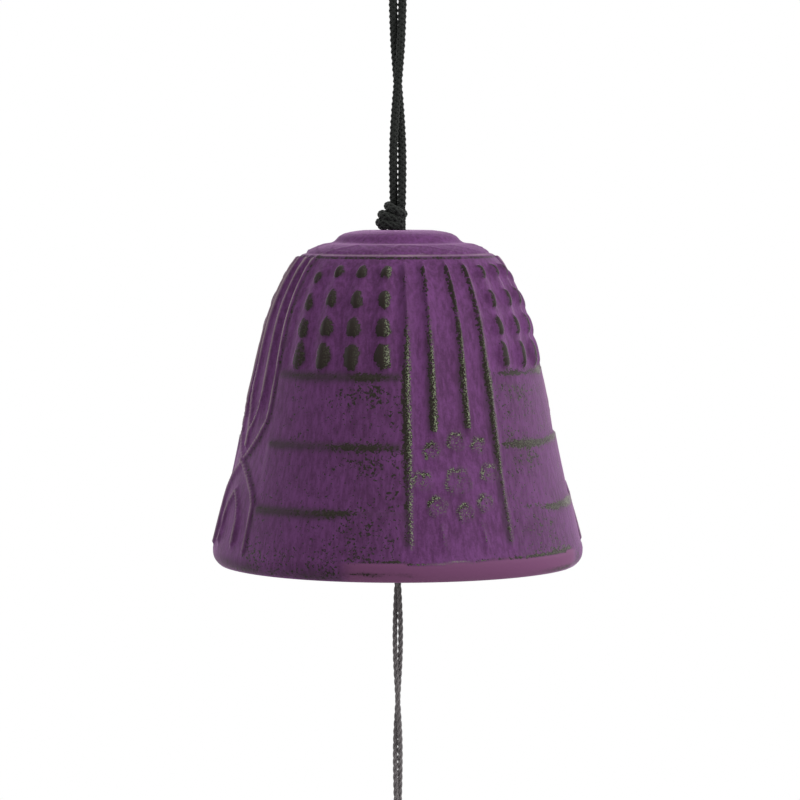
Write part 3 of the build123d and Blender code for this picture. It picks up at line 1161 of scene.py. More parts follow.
        # crest: a painted highlight right of each fold's crest, stronger far out in the right-hand panels.
        made.raise_by(
            self.fold_high * (fold - 0.5) * fold_zone,
            crest=(0.10 + 0.50 * far) * bump(rightward - 1.15, 0.30) * fold_zone * has_column,
        )
        column = np.round((from_middle - self.nub_pitch_deg / 2) / self.nub_pitch_deg)
        outermost = column == 1
        for row, (middle, tall, wide) in enumerate(self.nub_rows):
            jitter = np.sin(12.9 * column + 7.3 * row + 3.1 * side)
            x = rightward - 0.10 * jitter
            y = (share - middle) * self.height - 0.10 * jitter - outermost * self.outer_nub_drops[row]
            lean = 0.10 * jitter + 0.04
            w = wide / 2 * (1 + 0.20 * y / tall)
            q = ((x + lean * y) / w) ** 2 + np.abs(y / (tall / 2 * (1 + 0.08 * jitter))) ** 2.3
            theta = np.arctan2(x, y)
            q = q * (1 + 0.14 * np.sin(3 * theta + 5 * jitter) + 0.09 * np.sin(7 * theta - 9 * jitter))
            dome = np.clip(1 - q, 0.0, 1.0) ** 0.7 * has_column
            near = np.exp(-np.maximum(q - 1.0, 0.0) / 0.40) * has_column * (np.abs(to_column) < 6.0)
            fading = smoothstep(x / w, -0.95, 0.05)
            worn = smoothstep(dome, -0.05, 0.50) * (1.06 - 0.30 * outermost - (1 - fading) * (side > 0))
            # rim and glint: painted highlights on the nubs' right edges and right parts.
            rim = bump(q - 0.85, 0.36) * (x > 0.20 * wide) * (side > 0) * has_column
            made.raise_by(
                np.where(outermost, self.outer_nub_high, self.nub_high) * dome,
                rub=np.maximum(worn - 0.10 * far, 0.36 * near * (1 - 0.8 * (side > 0))),
                glint=(0.10 + 0.75 * (column == -2)) * (side < 0) * smoothstep(dome, 0.02, 0.2)
                * smoothstep(x / w, 0.10, 0.60),
                grime_and_shade=(0.90 - 0.30 * far) * np.maximum(smoothstep(dome, 0.0, 0.4), 0.5 * near) * fading,
                crest=(0.36 + 0.55 * far) * rim,
            )

    def carve_ledges(
        self,
        made: Relief,
        angle: np.ndarray,
        off_p: np.ndarray,
        side: np.ndarray,
        share: np.ndarray,
        edge: np.ndarray,
    ) -> None:
        """The panels' three ledges, each of which rises at its line and falls away evenly to the next.

        A ledge's wear is densest so many degrees towards the ridges, fades over a half width in degrees,
        and makes the worn line there so much thicker.

        Args:
            made: the relief that is added to.
            angle: degrees from the front.
            off_p: degrees from the panel's middle, positive away from the ridge band.
            side: 1 in the panels to the right of a ridge band and -1 in those to its left.
            share: share of the height below the crown.
            edge: 1 in the panel, and down to 0 at its edges.
        """
        outer = smoothstep(off_p, -2.0, 12.0) * (side > 0)
        feet = (*self.ledges[1:], self.last_ledge_foot)
        for line, after, (worn_at, worn_half, thicker) in zip(self.ledges, feet, self.ledge_wear):
            waver = self.wavering(angle, share, 9.0 * line)
            start = line - 0.002 + 0.0038 * waver - 0.006 * smoothstep(off_p, -5.0, 25.0) * (side > 0)
            inward = smoothstep(-off_p, 2.0, 14.0) * (line == self.ledges[-1])
            past = (share - start) * self.height
            step = smoothstep(past, -0.22, 0.16) * (1 - np.clip((share - line) / (after - line), 0.0, 1.0))
            dense = bump(off_p + worn_at, worn_half) * (0.55 + 0.45 * (side < 0))
            thick = 1.05 + thicker * dense + 0.35 * outer - 0.50 * inward
            brink = bump(past - 0.40 * thick + 0.25, 0.70 * thick)
            brink = brink * (0.46 + 0.56 * dense + 0.16 * waver + 0.24 * outer) * (1.0 + 0.55 * (side > 0))
            trail = np.exp(-np.maximum(past, 0.0) / 2.4) * smoothstep(past, -0.1, 0.2)
            # glint and crest: painted highlights at the ledges' far ends in the right-hand panels.
            made.raise_by(
                self.ledge_high * step * edge,
                rub=np.maximum(brink, trail * (0.44 + 0.36 * dense)) * edge,
                glint=(0.05 + 0.90 * outer) * brink * edge,
                grime_and_shade=(0.88 + 0.2 * waver) * (1 - 0.45 * (side > 0) - 0.4 * inward)
                * np.maximum(bump(past - 0.35, 1.20), 0.60 * trail) * edge,
                crest=(0.38 + 0.35 * waver) * outer * bump(past - 0.15, 0.75) * edge,
            )

    def wear_panels(
        self, made: Relief, off_p: np.ndarray, side: np.ndarray, share: np.ndarray, edge: np.ndarray
    ) -> None:
        """The wear between the ledges: light everywhere, and denser in a patch under each ledge.

        A patch is (strength, share, half width).

        Args:
            made: the relief that is added to.
            off_p: degrees from the panel's middle, positive away from the ridge band.
            side: 1 in the panels to the right of a ridge band and -1 in those to its left.
            share: share of the height below the crown.
            edge: 1 in the panel, and down to 0 at its edges.
        """
        near_ridges = smoothstep(-off_p, -8.0, self.panel_half_deg)
        below = smoothstep(share, 0.42, 0.44) * edge
        patches = ((0.9, 0.468, 0.030), (0.8, 0.66, 0.030), (0.5, 0.850, 0.050))
        patch = np.max([full * bump(share - middle, width) for full, middle, width in patches], axis=0)
        patch = bump(off_p + 13.0, 8.0) * patch
        corner = smoothstep(share, 0.88, 0.94) * smoothstep(off_p, -28.0, -10.0)
        clean = (side > 0) * smoothstep(share, 0.56, 0.64)
        # glint: painted highlight specks, more in the right-hand panels.
        made.raise_by(
            rub=below * (0.34 + 0.09 * near_ridges + 0.27 * patch + 0.15 * corner - 0.05 * clean),
            glint=below * (0.05 + 0.20 * (side > 0)),
            grime_and_shade=below * (0.20 + 0.10 * near_ridges + 0.15 * patch),
        )

    def carve_blossoms(self, made: Relief, off: np.ndarray, share: np.ndarray) -> None:
        """Nine small five-petalled blossoms low in the ridge band, and two stems.

        Round a blossom's middle the petals' outline is at radius size (0.80 + 0.07 cos(5 theta + turn)).

        Args:
            made: the relief that is added to.
            off: degrees from the ridge band's middle.
            share: share of the height below the crown.
        """
        for stem, head in self.stems:
            d = self.across(share, off - stem - 14.0 * (share - 0.85))
            here = smoothstep(share, head, head + 0.03) * (1 - smoothstep(share, 0.89, 0.92))
            # glint: a painted highlight along each stem.
            made.raise_by(
                self.stem_high * here * bump(d, 0.60),
                rub=0.46 * here * bump(d, 0.5),
                glint=0.50 * here * bump(d, 0.4),
            )
        for degrees, depth, size, turn, worn in self.blossoms:
            x, y = self.across(share, off - degrees), share * self.height - depth
            rho, theta = np.hypot(x, y), np.arctan2(x, -y)
            petals = size * (0.80 + 0.07 * np.cos(5 * theta + turn))
            ring = bump(rho - petals, 0.52)
            arc = np.clip(0.45 + 0.45 * np.cos(theta + 0.5) + 0.25 * np.cos(3 * theta + 2 * turn), 0.0, 1.0)
            disc = 1 - smoothstep(rho, petals - 0.3, petals + 0.4)
            heart = bump(rho, 0.55)
            # glint: painted highlights on the petals' outline and the heart.
            made.raise_by(
                self.disc_high * disc + self.petal_high * ring + self.heart_high * heart,
                rub=np.maximum(ring * (0.28 + 0.72 * worn * arc), (0.26 + 0.18 * worn) * disc),
                glint=np.maximum(ring * (0.20 + 1.10 * arc), (0.10 + 0.45 * worn) * disc) + 0.4 * heart,
                grime_and_shade=0.9 * ring * (0.2 + 0.8 * arc),
            )

    def carve_lip(self, made: Relief, angle: np.ndarray, share: np.ndarray) -> None:
        """The smooth band round the mouth, whose upper edge wanders, the dark metal where it is hidden, and a
        painted highlight on its upper edge near the front.

        Args:
            made: the relief that is added to.
            angle: degrees from the front.
            share: share of the height below the crown.
        """
        start = self.lip_share + 0.003 * np.cos(np.radians(2 * angle + 20.0))
        start = start + 0.0046 * self.wavering(3 * angle, share, 2.0)
        shows = smoothstep(np.cos(np.radians(2 * (angle - 27.0))), -0.05, 0.20)
        past = (share - start) * self.height
        band = smoothstep(past, -0.10, 0.14)
        made.raise_by(self.lip_high * (smoothstep(past, -0.22, 0.16) - (1 - shows) * band))
        made.lip = np.maximum(made.lip, band * shows)
        for values in (made.rub, made.glint, made.grime_and_shade, made.crest):
            values *= 1 - made.lip
        waver = self.wavering(2 * angle, share, 4.0)
        line = bump(past + 0.12, 0.24) * shows
        above = np.exp(-np.maximum(-past, 0.0) / 1.3) * (past < 0.1) * shows
        patina = (1 - shows) * smoothstep(share, 0.930, 0.985) * (0.80 + 0.30 * waver)
        patina = np.maximum(patina, bump(angle - 64.0, 16.0) * smoothstep(share, 0.968, 0.982))
        # bright: a stretch where the line round the lip gets a painted highlight instead of dark wear.
        bright = bump(angle - 17.0, 11.0)
        smear = bump(angle - 58.0, 18.0)
        scuff = np.maximum(bump(angle + 9.0, 8.0), 0.7 * bump(angle - 2.0, 5.0))
        scuff = shows * bump(past - 1.85, 0.42) * scuff
        line, above = line * (1 + 0.3 * smear), above * (1 + 1.6 * smear)
        worn = np.maximum(line * (0.92 - 0.5 * bright), above * (0.46 - 0.2 * bright))
        made.raise_by(
            rub=np.maximum(worn, patina * 0.58) + 0.62 * scuff,
            glint=np.maximum(line * 0.9 * bright, 0.10 * patina),
            grime_and_shade=np.maximum(0.80 * patina, line * 0.6) + 0.8 * scuff,
            crest=0.55 * line * bright,
        )

    def build(self, finish: bpy.types.Material) -> bpy.types.Object:
        """Makes the casting as one closed grid: outline point + normal * relief, turned to each angle.

        Args:
            finish: the painted iron.

        Returns:
            The bell, with rub, glint, grime, crest, lip and inside stored at its vertices.
        """
        along, radius, depth = self.outline()
        lowest = along[np.argmax(depth)]
        rows = self.rows(along, depth)
        r, d = (np.interp(rows, along, values) for values in (radius, depth))
        slope_r = np.interp(rows, along, np.gradient(radius, along))
        slope_d = np.interp(rows, along, np.gradient(depth, along))
        length = np.hypot(slope_r, slope_d)
        out_r, out_d = slope_d / length, -slope_r / length
        columns = self.columns()
        share, angle = np.meshgrid(d / self.height, wrapped(columns, 360.0), indexing="ij")
        outer = (1 - smoothstep(rows, lowest - 1.2, lowest - 0.2))[:, None]
        made = self.relief(angle, share)
        height = made.height * outer
        turn = np.radians(columns)[None, :]
        grid_r = r[:, None] + out_r[:, None] * height
        grid_z = self.crown_z - d[:, None] - out_d[:, None] * height
        points = np.stack([grid_r * np.sin(turn), -grid_r * np.cos(turn), grid_z], -1)
        piece = make_mesh("bell_casting", points, grid_faces(len(rows), len(columns), True, True)[:, ::-1])
        inside = np.broadcast_to(smoothstep(rows, lowest + 0.6, lowest + 2.2)[:, None], share.shape)
        stored = {"rub": made.rub, "glint": made.glint, "grime_and_shade": made.grime_and_shade, "crest": made.crest}
        stored = {name: values * outer for name, values in stored.items()}
        for name, values in {**stored, "lip": made.lip, "inside": inside}.items():
            set_attribute(piece, name, values)
        place(piece, Body.BELL, Slot.PAINTED_IRON, finish, "bell")
        return piece


# The clapper and the strip


@dataclass
class ClapperPlate:
    """The clapper: a round cast plate with a thicker middle, turned from one softened outline."""

    radius: float = 13.0
    underside_z: float = -114.4
    rim_thick: float = 3.6
    boss_radius: float = 4.2
    boss_thick: float = 5.0
    hole_radius: float = 1.7
    columns: int = 180
    outline_step: float = 0.05
    row_every: int = 9
    edge_soft: float = 0.22

    def build(self, finish: bpy.types.Material) -> bpy.types.Object:
        """Makes the plate: each outline point (r, z) turned to (r sin a, -r cos a, z), a little uneven.

        Args:
            finish: the clapper's iron.

        Returns:
            The plate, with its rub stored at its vertices.
        """
        rise = (self.boss_thick - self.rim_thick) / 2
        low, high = self.underside_z, self.underside_z + self.boss_thick
        half = [
            (self.hole_radius, low + 0.5),
            (self.hole_radius + 0.5, low),
            (self.boss_radius, low),
            (self.boss_radius + 1.5, low + rise),
            (self.radius - 1.6, low + rise),
            (self.radius - 0.4, low + rise + 0.5),
            (self.radius, low + rise + 1.3),
        ]
        mirrored = [(r, low + high - z) for r, z in reversed(half)]
        corners = np.array(half + mirrored + half[:1])
        run = run_of(corners)
        line = sampled(corners, run, np.arange(0.0, run[-1], self.outline_step))
        line = softened(line, self.edge_soft / self.outline_step)[:: self.row_every]
        turn = np.linspace(0.0, 2 * np.pi, self.columns, endpoint=False)[None, :]
        r, z = line[:, :1], line[:, 1:]
        uneven = 0.05 * np.sin(3 * turn + 2.0 * z) + 0.03 * np.sin(11 * turn - 5.0 * z + 1.7 * r)
        worn = bump(r - (self.radius - 0.3), 0.7) + 0.6 * bump(r - self.boss_radius, 0.6)
        worn = worn + 0.5 * bump(r - 2.0, 0.4)
        r = r + uneven * smoothstep(r, 8.0, 12.0)
        z = z + 0.5 * uneven * np.sign(z - (low + high) / 2)
        points = np.stack([r * np.sin(turn), -r * np.cos(turn), np.broadcast_to(z, r.shape)], -1)
        piece = make_mesh("clapper_plate", points, grid_faces(len(line), self.columns, True, True))
        set_attribute(piece, "rub", np.broadcast_to(worn, r.shape))
        place(piece, Body.CLAPPER, Slot.CLAPPER_IRON, finish, "clapper")
        return piece


@dataclass
class PaperStrip:
    """The strip of paper that catches the wind, hung by a round hole near its top."""

    width: float = 38.0
    length: float = 112.0
    thick: float = 0.22
    hole_radius: float = 1.66
    hole_z: float = -177.75
    top_z: float = -173.55
    cell: float = 0.5
    curl: float = 1.5

    def bow(self, x: np.ndarray, z: np.ndarray) -> np.ndarray:
        """How far the paper stands out of its plane.

        It is a bow across, c (x / w)^2, that grows down the strip, a lean that grows with down^2, and a
        slow wave, where down goes from 0 at the strip's top to 1 at its foot.

        Args:
            x: places across the strip, in millimetres.
            z: their heights.

        Returns:
            The distance towards the back, in millimetres.
        """
        down = (self.top_z - z) / self.length
        across = self.curl * 4 * (x / self.width) ** 2 * (0.25 + 0.75 * down)
        return across - 1.1 * down**2 * (1.0 - 0.7 * down) + 0.35 * np.sin(5.2 * down + 0.09 * x) * down

    def build(self, finish: bpy.types.Material) -> bpy.types.Object:
        """Makes the sheet as a grid with its hole cut out, and gives it the paper's thickness.

        Cells wholly inside the hole are left out, and the corners that remain inside it move straight
        outwards to its edge.

        Args:
            finish: the paper's material.

        Returns:
            The strip, declared as a sheet.
        """
        columns, rows = int(self.width / self.cell) + 1, int(self.length / self.cell) + 1
        x, z = np.meshgrid(
            np.linspace(-self.width / 2, self.width / 2, columns),
            np.linspace(self.top_z, self.top_z - self.length, rows),
        )
        x, z = x.ravel(), z.ravel()
        away = np.hypot(x, z - self.hole_z)
        faces = grid_faces(rows, columns, False, False)
        faces = faces[(away[faces] > self.hole_radius).any(axis=1)]
        within = (away < self.hole_radius) & (away > 0)
        grow = np.where(within, self.hole_radius / np.maximum(away, SAME_PLACE), 1.0)
        x, z = x * grow, self.hole_z + (z - self.hole_z) * grow
        used, faces = np.unique(faces, return_inverse=True)
        x, z = x[used], z[used]
        at_edge = smoothstep(np.abs(x), self.width / 2 - 0.6, self.width / 2)
        fray = 0.10 * np.sin(2.9 * z) * np.sin(7.7 * z + 1.0) * at_edge
        points = np.column_stack([x + np.sign(x) * fray, self.bow(x, z), z])
        piece = make_mesh("paper_strip_sheet", points, faces.reshape(-1, 4)[:, ::-1])
        set_uv(piece, np.column_stack([x, z]))
        solid = piece.modifiers.new("thickness", "SOLIDIFY")
        solid.thickness = self.thick * MM
        solid.offset = 0.0
        place(piece, Body.STRIP, Slot.PAPER, finish, "paper_strip")
        return piece


# The finishes


def linear(red: int, green: int, blue: int) -> tuple[float, float, float, float]:
    """A colour as the shader takes it, by the usual curve of screens.

    Args:
        red: the red that a picture shows, from 0 to 255.
        green: its green.
        blue: its blue.

    Returns:
        The colour as light, from 0 to 1, with its alpha of 1.
    """
    shown = np.array((red, green, blue)) / 255.0
    light = np.where(shown <= 0.04045, shown / 12.92, ((shown + 0.055) / 1.055) ** 2.4)
    return (*light.tolist(), 1.0)


class Sheet:
    """The nodes of one tree, a material's or a group's, laid out by short calls."""

    def __init__(self, tree: bpy.types.NodeTree) -> None:
        """Takes the tree that the nodes go in."""
        self.tree = tree

    def add(self, kind: str, **settings: object) -> bpy.types.Node:
        """A new node.

        Args:
            kind: the node's type.
            settings: values for its own settings, by name.

        Returns:
            The node.
        """
        node = self.tree.nodes.new(kind)
        for name, value in settings.items():
            setattr(node, name, value)
        return node

    def feed(self, socket: bpy.types.NodeSocket, source: object) -> None:
        """Gives an input socket what it reads.

        Args:
            socket: the input socket.
            source: the output socket that it is joined to, or the value that it is set to.
        """
        if isinstance(source, bpy.types.NodeSocket):
            self.tree.links.new(source, socket)
        else:
            socket.default_value = source

    def maths(self, operation: str, *values: object, clamp: bool = False) -> bpy.types.NodeSocket:
        """One step of arithmetic.

        Args:
            operation: the step, such as ADD or MULTIPLY.
            values: one or two numbers or sockets.
            clamp: whether the outcome is held to 0..1.

        Returns:
            The socket with the outcome.
        """
        node = self.add("ShaderNodeMath", operation=operation, use_clamp=clamp)
        for socket, value in zip(node.inputs, values):
            self.feed(socket, value)
        return node.outputs[0]

    def ease(
        self, value: object, low: float, high: float, to_low: float = 0.0, to_high: float = 1.0
    ) -> bpy.types.NodeSocket:
        """A value eased from one pair of limits to another, by 3t^2 - 2t^3.

        Args:
            value: the number or socket that is eased.
            low: the value that gives to_low, and so does any below it.
            high: the value that gives to_high, and so does any above it.
            to_low: the outcome at low.
            to_high: the outcome at high.

        Returns:
            The socket with the outcome.
        """
        node = self.add("ShaderNodeMapRange", interpolation_type="SMOOTHSTEP")
        names = ("Value", "From Min", "From Max", "To Min", "To Max")
        for name, source in zip(names, (value, low, high, to_low, to_high)):
            self.feed(node.inputs[name], source)
        return node.outputs[0]

    def stretch(self, vector: object, scale: Point, turn: Point = (0.0, 0.0, 0.0)) -> bpy.types.NodeSocket:
        """A vector scaled on each axis, and turned.

        Args:
            vector: the socket with the vector.
            scale: the factor on each axis.
            turn: the turn about each axis, in radians.

        Returns:
            The socket with the outcome.
        """
        node = self.add("ShaderNodeMapping")
        self.feed(node.inputs["Vector"], vector)
        node.inputs["Scale"].default_value = scale
        node.inputs["Rotation"].default_value = turn
        return node.outputs[0]

    def noise(
        self, vector: object, scale: object, detail: float = 2.0, roughness: float = 0.5
    ) -> bpy.types.NodeSocket:
        """Cloudy noise around one half.

        Args:
            vector: the socket with the place.
            scale: how many clouds there are to a unit, as a number or a socket.
            detail: how many finer layers are added.
            roughness: how strong each finer layer is.

        Returns:
            The socket with the noise.
        """
        node = self.add("ShaderNodeTexNoise")
        self.feed(node.inputs["Vector"], vector)
        self.feed(node.inputs["Scale"], scale)
        node.inputs["Detail"].default_value = detail
        node.inputs["Roughness"].default_value = roughness
        return node.outputs["Fac"]

    def blend(self, fraction: object, first: object, second: object) -> bpy.types.NodeSocket:
        """A colour between two colours.

        Args:
            fraction: how much of the second there is, from 0 to 1.
            first: the first colour.
            second: the second colour.

        Returns:
            The socket with the colour.
        """
        node = self.add("ShaderNodeMix", data_type="RGBA", clamp_factor=True)
        for index, source in zip((0, 6, 7), (fraction, first, second)):
            self.feed(node.inputs[index], source)
        return node.outputs[2]

    def stored(self, name: str) -> bpy.types.NodeSocket:
        """A number stored at the mesh's vertices."""
        return self.add("ShaderNodeAttribute", attribute_type="GEOMETRY", attribute_name=name).outputs["Fac"]

    def bumped(self, shader: bpy.types.Node, height: object, relief_mm: float) -> None:
        """Gives a shader its small relief.

        Args:
            shader: the principled shader.
            height: the socket with the relief's height, in shares of relief_mm.
            relief_mm: how tall a height of 1 stands, in millimetres.
        """
        hump = self.add("ShaderNodeBump")
        hump.inputs["Distance"].default_value = relief_mm * MM
        self.feed(hump.inputs["Height"], height)
        self.feed(shader.inputs["Normal"], hump.outputs[0])

    def group(self, tree: bpy.types.NodeTree, **inputs: object) -> bpy.types.Node:
        """A node group, placed with its own values.

        Args:
            tree: the group's tree.
            inputs: a number or a socket for each of its inputs, by name.

        Returns:
            The placed group.
        """
        node = self.add("ShaderNodeGroup", node_tree=tree)
        for name, source in inputs.items():
            self.feed(node.inputs[name], source)
        return node


def new_group(
    name: str, inputs: dict[str, str], outputs: dict[str, str]
) -> tuple[Sheet, bpy.types.Node, bpy.types.Node]:
    """An empty shader node group.

    Args:
        name: the group's name.
        inputs: socket names and their kinds, Float or Vector.
        outputs: the same for what it puts out.

    Returns:
        The group's sheet, its input node and its output node.
    """
    tree = bpy.data.node_groups.new(name, "ShaderNodeTree")
    for side, sockets in (("INPUT", inputs), ("OUTPUT", outputs)):
        for socket, kind in sockets.items():
            tree.interface.new_socket(name=socket, in_out=side, socket_type="NodeSocket" + kind)
    sheet = Sheet(tree)
    return sheet, sheet.add("NodeGroupInput"), sheet.add("NodeGroupOutput")


def cast_grain_group() -> bpy.types.NodeTree:
    """The skin of sand-cast iron: fine grit, short upright streaks and slow clouds, and their height.

    Returns:
        The group, which reads a place in metres and how strong its grit and streaks stand up.
    """
    sheet, take, give = new_group(
        "cast grain",
        {"Vector": "Vector", "Grit": "Float", "Streak": "Float"},
        {"Grit": "Float", "Streak": "Float", "Cloud": "Float", "Height": "Float"},
    )
    vector = take.outputs["Vector"]
    grit = sheet.noise(vector, 2600.0, 3.0, 0.65)
    streak = sheet.noise(sheet.stretch(vector, (1.0, 1.0, 0.22)), 1500.0, 2.0, 0.55)
    cloud = sheet.noise(vector, 95.0, 3.0, 0.6)
    height = sheet.maths(
        "ADD",
        sheet.maths("MULTIPLY", grit, take.outputs["Grit"]),
        sheet.maths("MULTIPLY", streak, take.outputs["Streak"]),
    )
    for name, source in (("Grit", grit), ("Streak", streak), ("Cloud", cloud), ("Height", height)):
        sheet.feed(give.inputs[name], source)
    return sheet.tree


def rubbed_group() -> bpy.types.NodeTree:
    """Where a coat is rubbed through: solid where the rub is full, and specks where it is partial.

    Returns:
        The group, which reads a place in metres, the rub and the scale of its specks.
    """
    sheet, take, give = new_group(
        "rubbed edges",
        {"Vector": "Vector", "Rub": "Float", "Speck": "Float"},
        {"Mask": "Float", "Spark": "Float"},
    )
    speck = sheet.noise(take.outputs["Vector"], take.outputs["Speck"], 2.0, 0.62)
    cluster = sheet.noise(take.outputs["Vector"], 420.0, 1.0, 0.5)
    spread = sheet.maths("MULTIPLY", sheet.maths("SUBTRACT", speck, 0.5), 1.9)
    drift = sheet.maths("MULTIPLY", sheet.maths("SUBTRACT", cluster, 0.5), 0.55)
    value = sheet.maths("ADD", take.outputs["Rub"], sheet.maths("ADD", spread, drift))
    # Spark: a fine dot pattern where the painted glints go.
    dots = sheet.noise(take.outputs["Vector"], 3900.0, 1.0, 0.5)
    sheet.feed(give.inputs["Mask"], sheet.ease(value, 0.56, 0.74))
    sheet.feed(give.inputs["Spark"], sheet.ease(dots, 0.50, 0.60))
    return sheet.tree


def yarn_group() -> bpy.types.NodeTree:
    """Twisted fibres along a strand, from its UV map: u once round it, v millimetres along it.

    Returns:
        The group, which reads that map and how many turns its fibres make in a millimetre.
    """
    sheet, take, give = new_group(
        "yarn",
        {"Vector": "Vector", "Lean": "Float"},
        {"Fibre": "Float", "Height": "Float", "Fuzz": "Float"},
    )
    parts = sheet.add("ShaderNodeSeparateXYZ")
    sheet.feed(parts.inputs[0], take.outputs["Vector"])
    lean = sheet.maths("MULTIPLY", parts.outputs[1], take.outputs["Lean"])
    around = sheet.maths("MULTIPLY", sheet.maths("ADD", parts.outputs[0], lean), 2 * np.pi)
    join = sheet.add("ShaderNodeCombineXYZ")
    sheet.feed(join.inputs["X"], sheet.maths("COSINE", around))
    sheet.feed(join.inputs["Y"], sheet.maths("SINE", around))
    sheet.feed(join.inputs["Z"], sheet.maths("MULTIPLY", parts.outputs[1], 0.35))
    fibre = sheet.noise(join.outputs[0], 3.4, 3.0, 0.6)
    fuzz = sheet.noise(take.outputs["Vector"], 9.0, 3.0, 0.7)
    sheet.feed(give.inputs["Fibre"], fibre)
    sheet.feed(give.inputs["Fuzz"], fuzz)
    sheet.feed(give.inputs["Height"], sheet.maths("ADD", fibre, sheet.maths("MULTIPLY", fuzz, 0.35)))
    return sheet.tree


@dataclass(frozen=True)
class Groups:
    """The node groups that the finishes share."""

    grain: bpy.types.NodeTree
    rubbed: bpy.types.NodeTree
    yarn: bpy.types.NodeTree

    @classmethod
    def made(cls) -> "Groups":
        """All of them, built once."""
        return cls(cast_grain_group(), rubbed_group(), yarn_group())


def new_material(name: str) -> tuple[bpy.types.Material, Sheet, bpy.types.Node]:
    """A new material with only a principled shader on its output.

    Args:
        name: the material's name.

    Returns:
        The material, its sheet of nodes and its shader.
    """
    material = bpy.data.materials.new(name)
    material.use_nodes = True
    sheet = Sheet(material.node_tree)
    material.node_tree.nodes.clear()
    shader = sheet.add("ShaderNodeBsdfPrincipled")
    output = sheet.add("ShaderNodeOutputMaterial")
    sheet.feed(output.inputs["Surface"], shader.outputs[0])
    return material, sheet, shader


@dataclass(frozen=True)
class PaintedIron:
    """Thin satin paint over dark iron: worn through to dark metal on raised places, bare inside the bell.

    A fine dust, as the shader's sheen, makes the paint paler where it is seen at a low angle. Glints of worn
    metal and pale sharp edges are painted highlights, and the thin dark paint is partly painted shade.
    """

    paint: tuple[int, int, int] = (120, 69, 126)
    paint_deep: tuple[int, int, int] = (89, 49, 90)
    lip_paint: tuple[int, int, int] = (124, 76, 114)
    thin_paint_and_shade: tuple[int, int, int] = (52, 45, 43)
    metal: tuple[int, int, int] = (44, 37, 33)
    painted_metal_glint: tuple[int, int, int] = (140, 149, 120)
    painted_edge_highlight: tuple[int, int, int] = (172, 153, 158)
    painted_metal_edge_highlight: tuple[int, int, int] = (146, 158, 132)
    dusty: tuple[int, int, int] = (214, 170, 216)
    dust: float = 0.85
    dust_spread: float = 0.28
    inside: tuple[int, int, int] = (52, 44, 42)
    inside_rust: tuple[int, int, int] = (62, 50, 44)
    speck_scale: float = 1850.0
    paint_roughness: float = 0.54
    specular: float = 0.13
    relief_mm: float = 0.05

    def material(self, groups: Groups) -> bpy.types.Material:
        """The finish, read from object coordinates and from the values stored at the bell's vertices.

        Args:
            groups: the shared node groups.

        Returns:
            The material.
        """
        made, sheet, shader = new_material("painted_iron")
        where = sheet.add("ShaderNodeTexCoord").outputs["Object"]
        lip, inside, grime_and_shade = sheet.stored("lip"), sheet.stored("inside"), sheet.stored("grime_and_shade")
        grain = sheet.group(groups.grain, Vector=where, Grit=0.8, Streak=0.8)
        grit, streak, cloud = (grain.outputs[name] for name in ("Grit", "Streak", "Cloud"))
        rubbed = sheet.group(groups.rubbed, Vector=where, Rub=sheet.stored("rub"), Speck=self.speck_scale)
        tone = sheet.maths("MULTIPLY", cloud, 0.25)
        for part, weight in ((streak, 0.45), (grit, 0.30)):
            tone = sheet.maths("ADD", tone, sheet.maths("MULTIPLY", part, weight))
        paint = sheet.blend(sheet.ease(tone, 0.36, 0.64), linear(*self.paint_deep), linear(*self.paint))
        paint = sheet.blend(lip, paint, linear(*self.lip_paint))
        # Thin dark paint from the stored grime, which on the ridges' left flanks is painted shade.
        thin = sheet.maths("ADD", grime_and_shade, sheet.maths("MULTIPLY", sheet.maths("SUBTRACT", grit, 0.5), 0.9))
        thin = sheet.maths("MULTIPLY", sheet.ease(thin, 0.10, 1.05), 0.85)
        paint = sheet.blend(thin, paint, linear(*self.thin_paint_and_shade))
        # Painted highlights: specks of worn metal coloured as if they caught the light.
        painted_glints = sheet.maths("MULTIPLY", rubbed.outputs["Spark"], sheet.stored("glint"), clamp=True)
        metal = sheet.blend(painted_glints, linear(*self.metal), linear(*self.painted_metal_glint))
        mask = sheet.maths("MAXIMUM", rubbed.outputs["Mask"], sheet.maths("MULTIPLY", painted_glints, 0.85))
        coat = sheet.blend(mask, paint, metal)
        # edge and bright: the pale painted highlight along sharp edges, from the stored crest.
        edge = sheet.maths("ADD", sheet.stored("crest"), sheet.maths("MULTIPLY", grit, 0.3))
        bright = sheet.blend(rubbed.outputs["Mask"], linear(*self.painted_edge_highlight), linear(*self.painted_metal_edge_highlight))
        coat = sheet.blend(sheet.ease(edge, 0.30, 1.15), coat, bright)
        bare = sheet.blend(sheet.ease(cloud, 0.4, 0.6), linear(*self.inside), linear(*self.inside_rust))
        sheet.feed(shader.inputs["Base Color"], sheet.blend(inside, coat, bare))
        dull = sheet.maths("ADD", self.paint_roughness, sheet.maths("MULTIPLY", grit, 0.16))
        dull = sheet.maths("SUBTRACT", dull, sheet.maths("MULTIPLY", mask, 0.10))
        sheet.feed(shader.inputs["Roughness"], dull)
        shader.inputs["Specular IOR Level"].default_value = self.specular
        shader.inputs["Sheen Weight"].default_value = self.dust
        shader.inputs["Sheen Roughness"].default_value = self.dust_spread
        shader.inputs["Sheen Tint"].default_value = linear(*self.dusty)
        soft = sheet.maths("SUBTRACT", 1.0, sheet.maths("MULTIPLY", lip, 0.7))
        height = sheet.maths("MULTIPLY", grain.outputs["Height"], soft)
        height = sheet.maths("SUBTRACT", height, sheet.maths("MULTIPLY", mask, 0.25))
        sheet.bumped(shader, height, self.relief_mm)
        return made


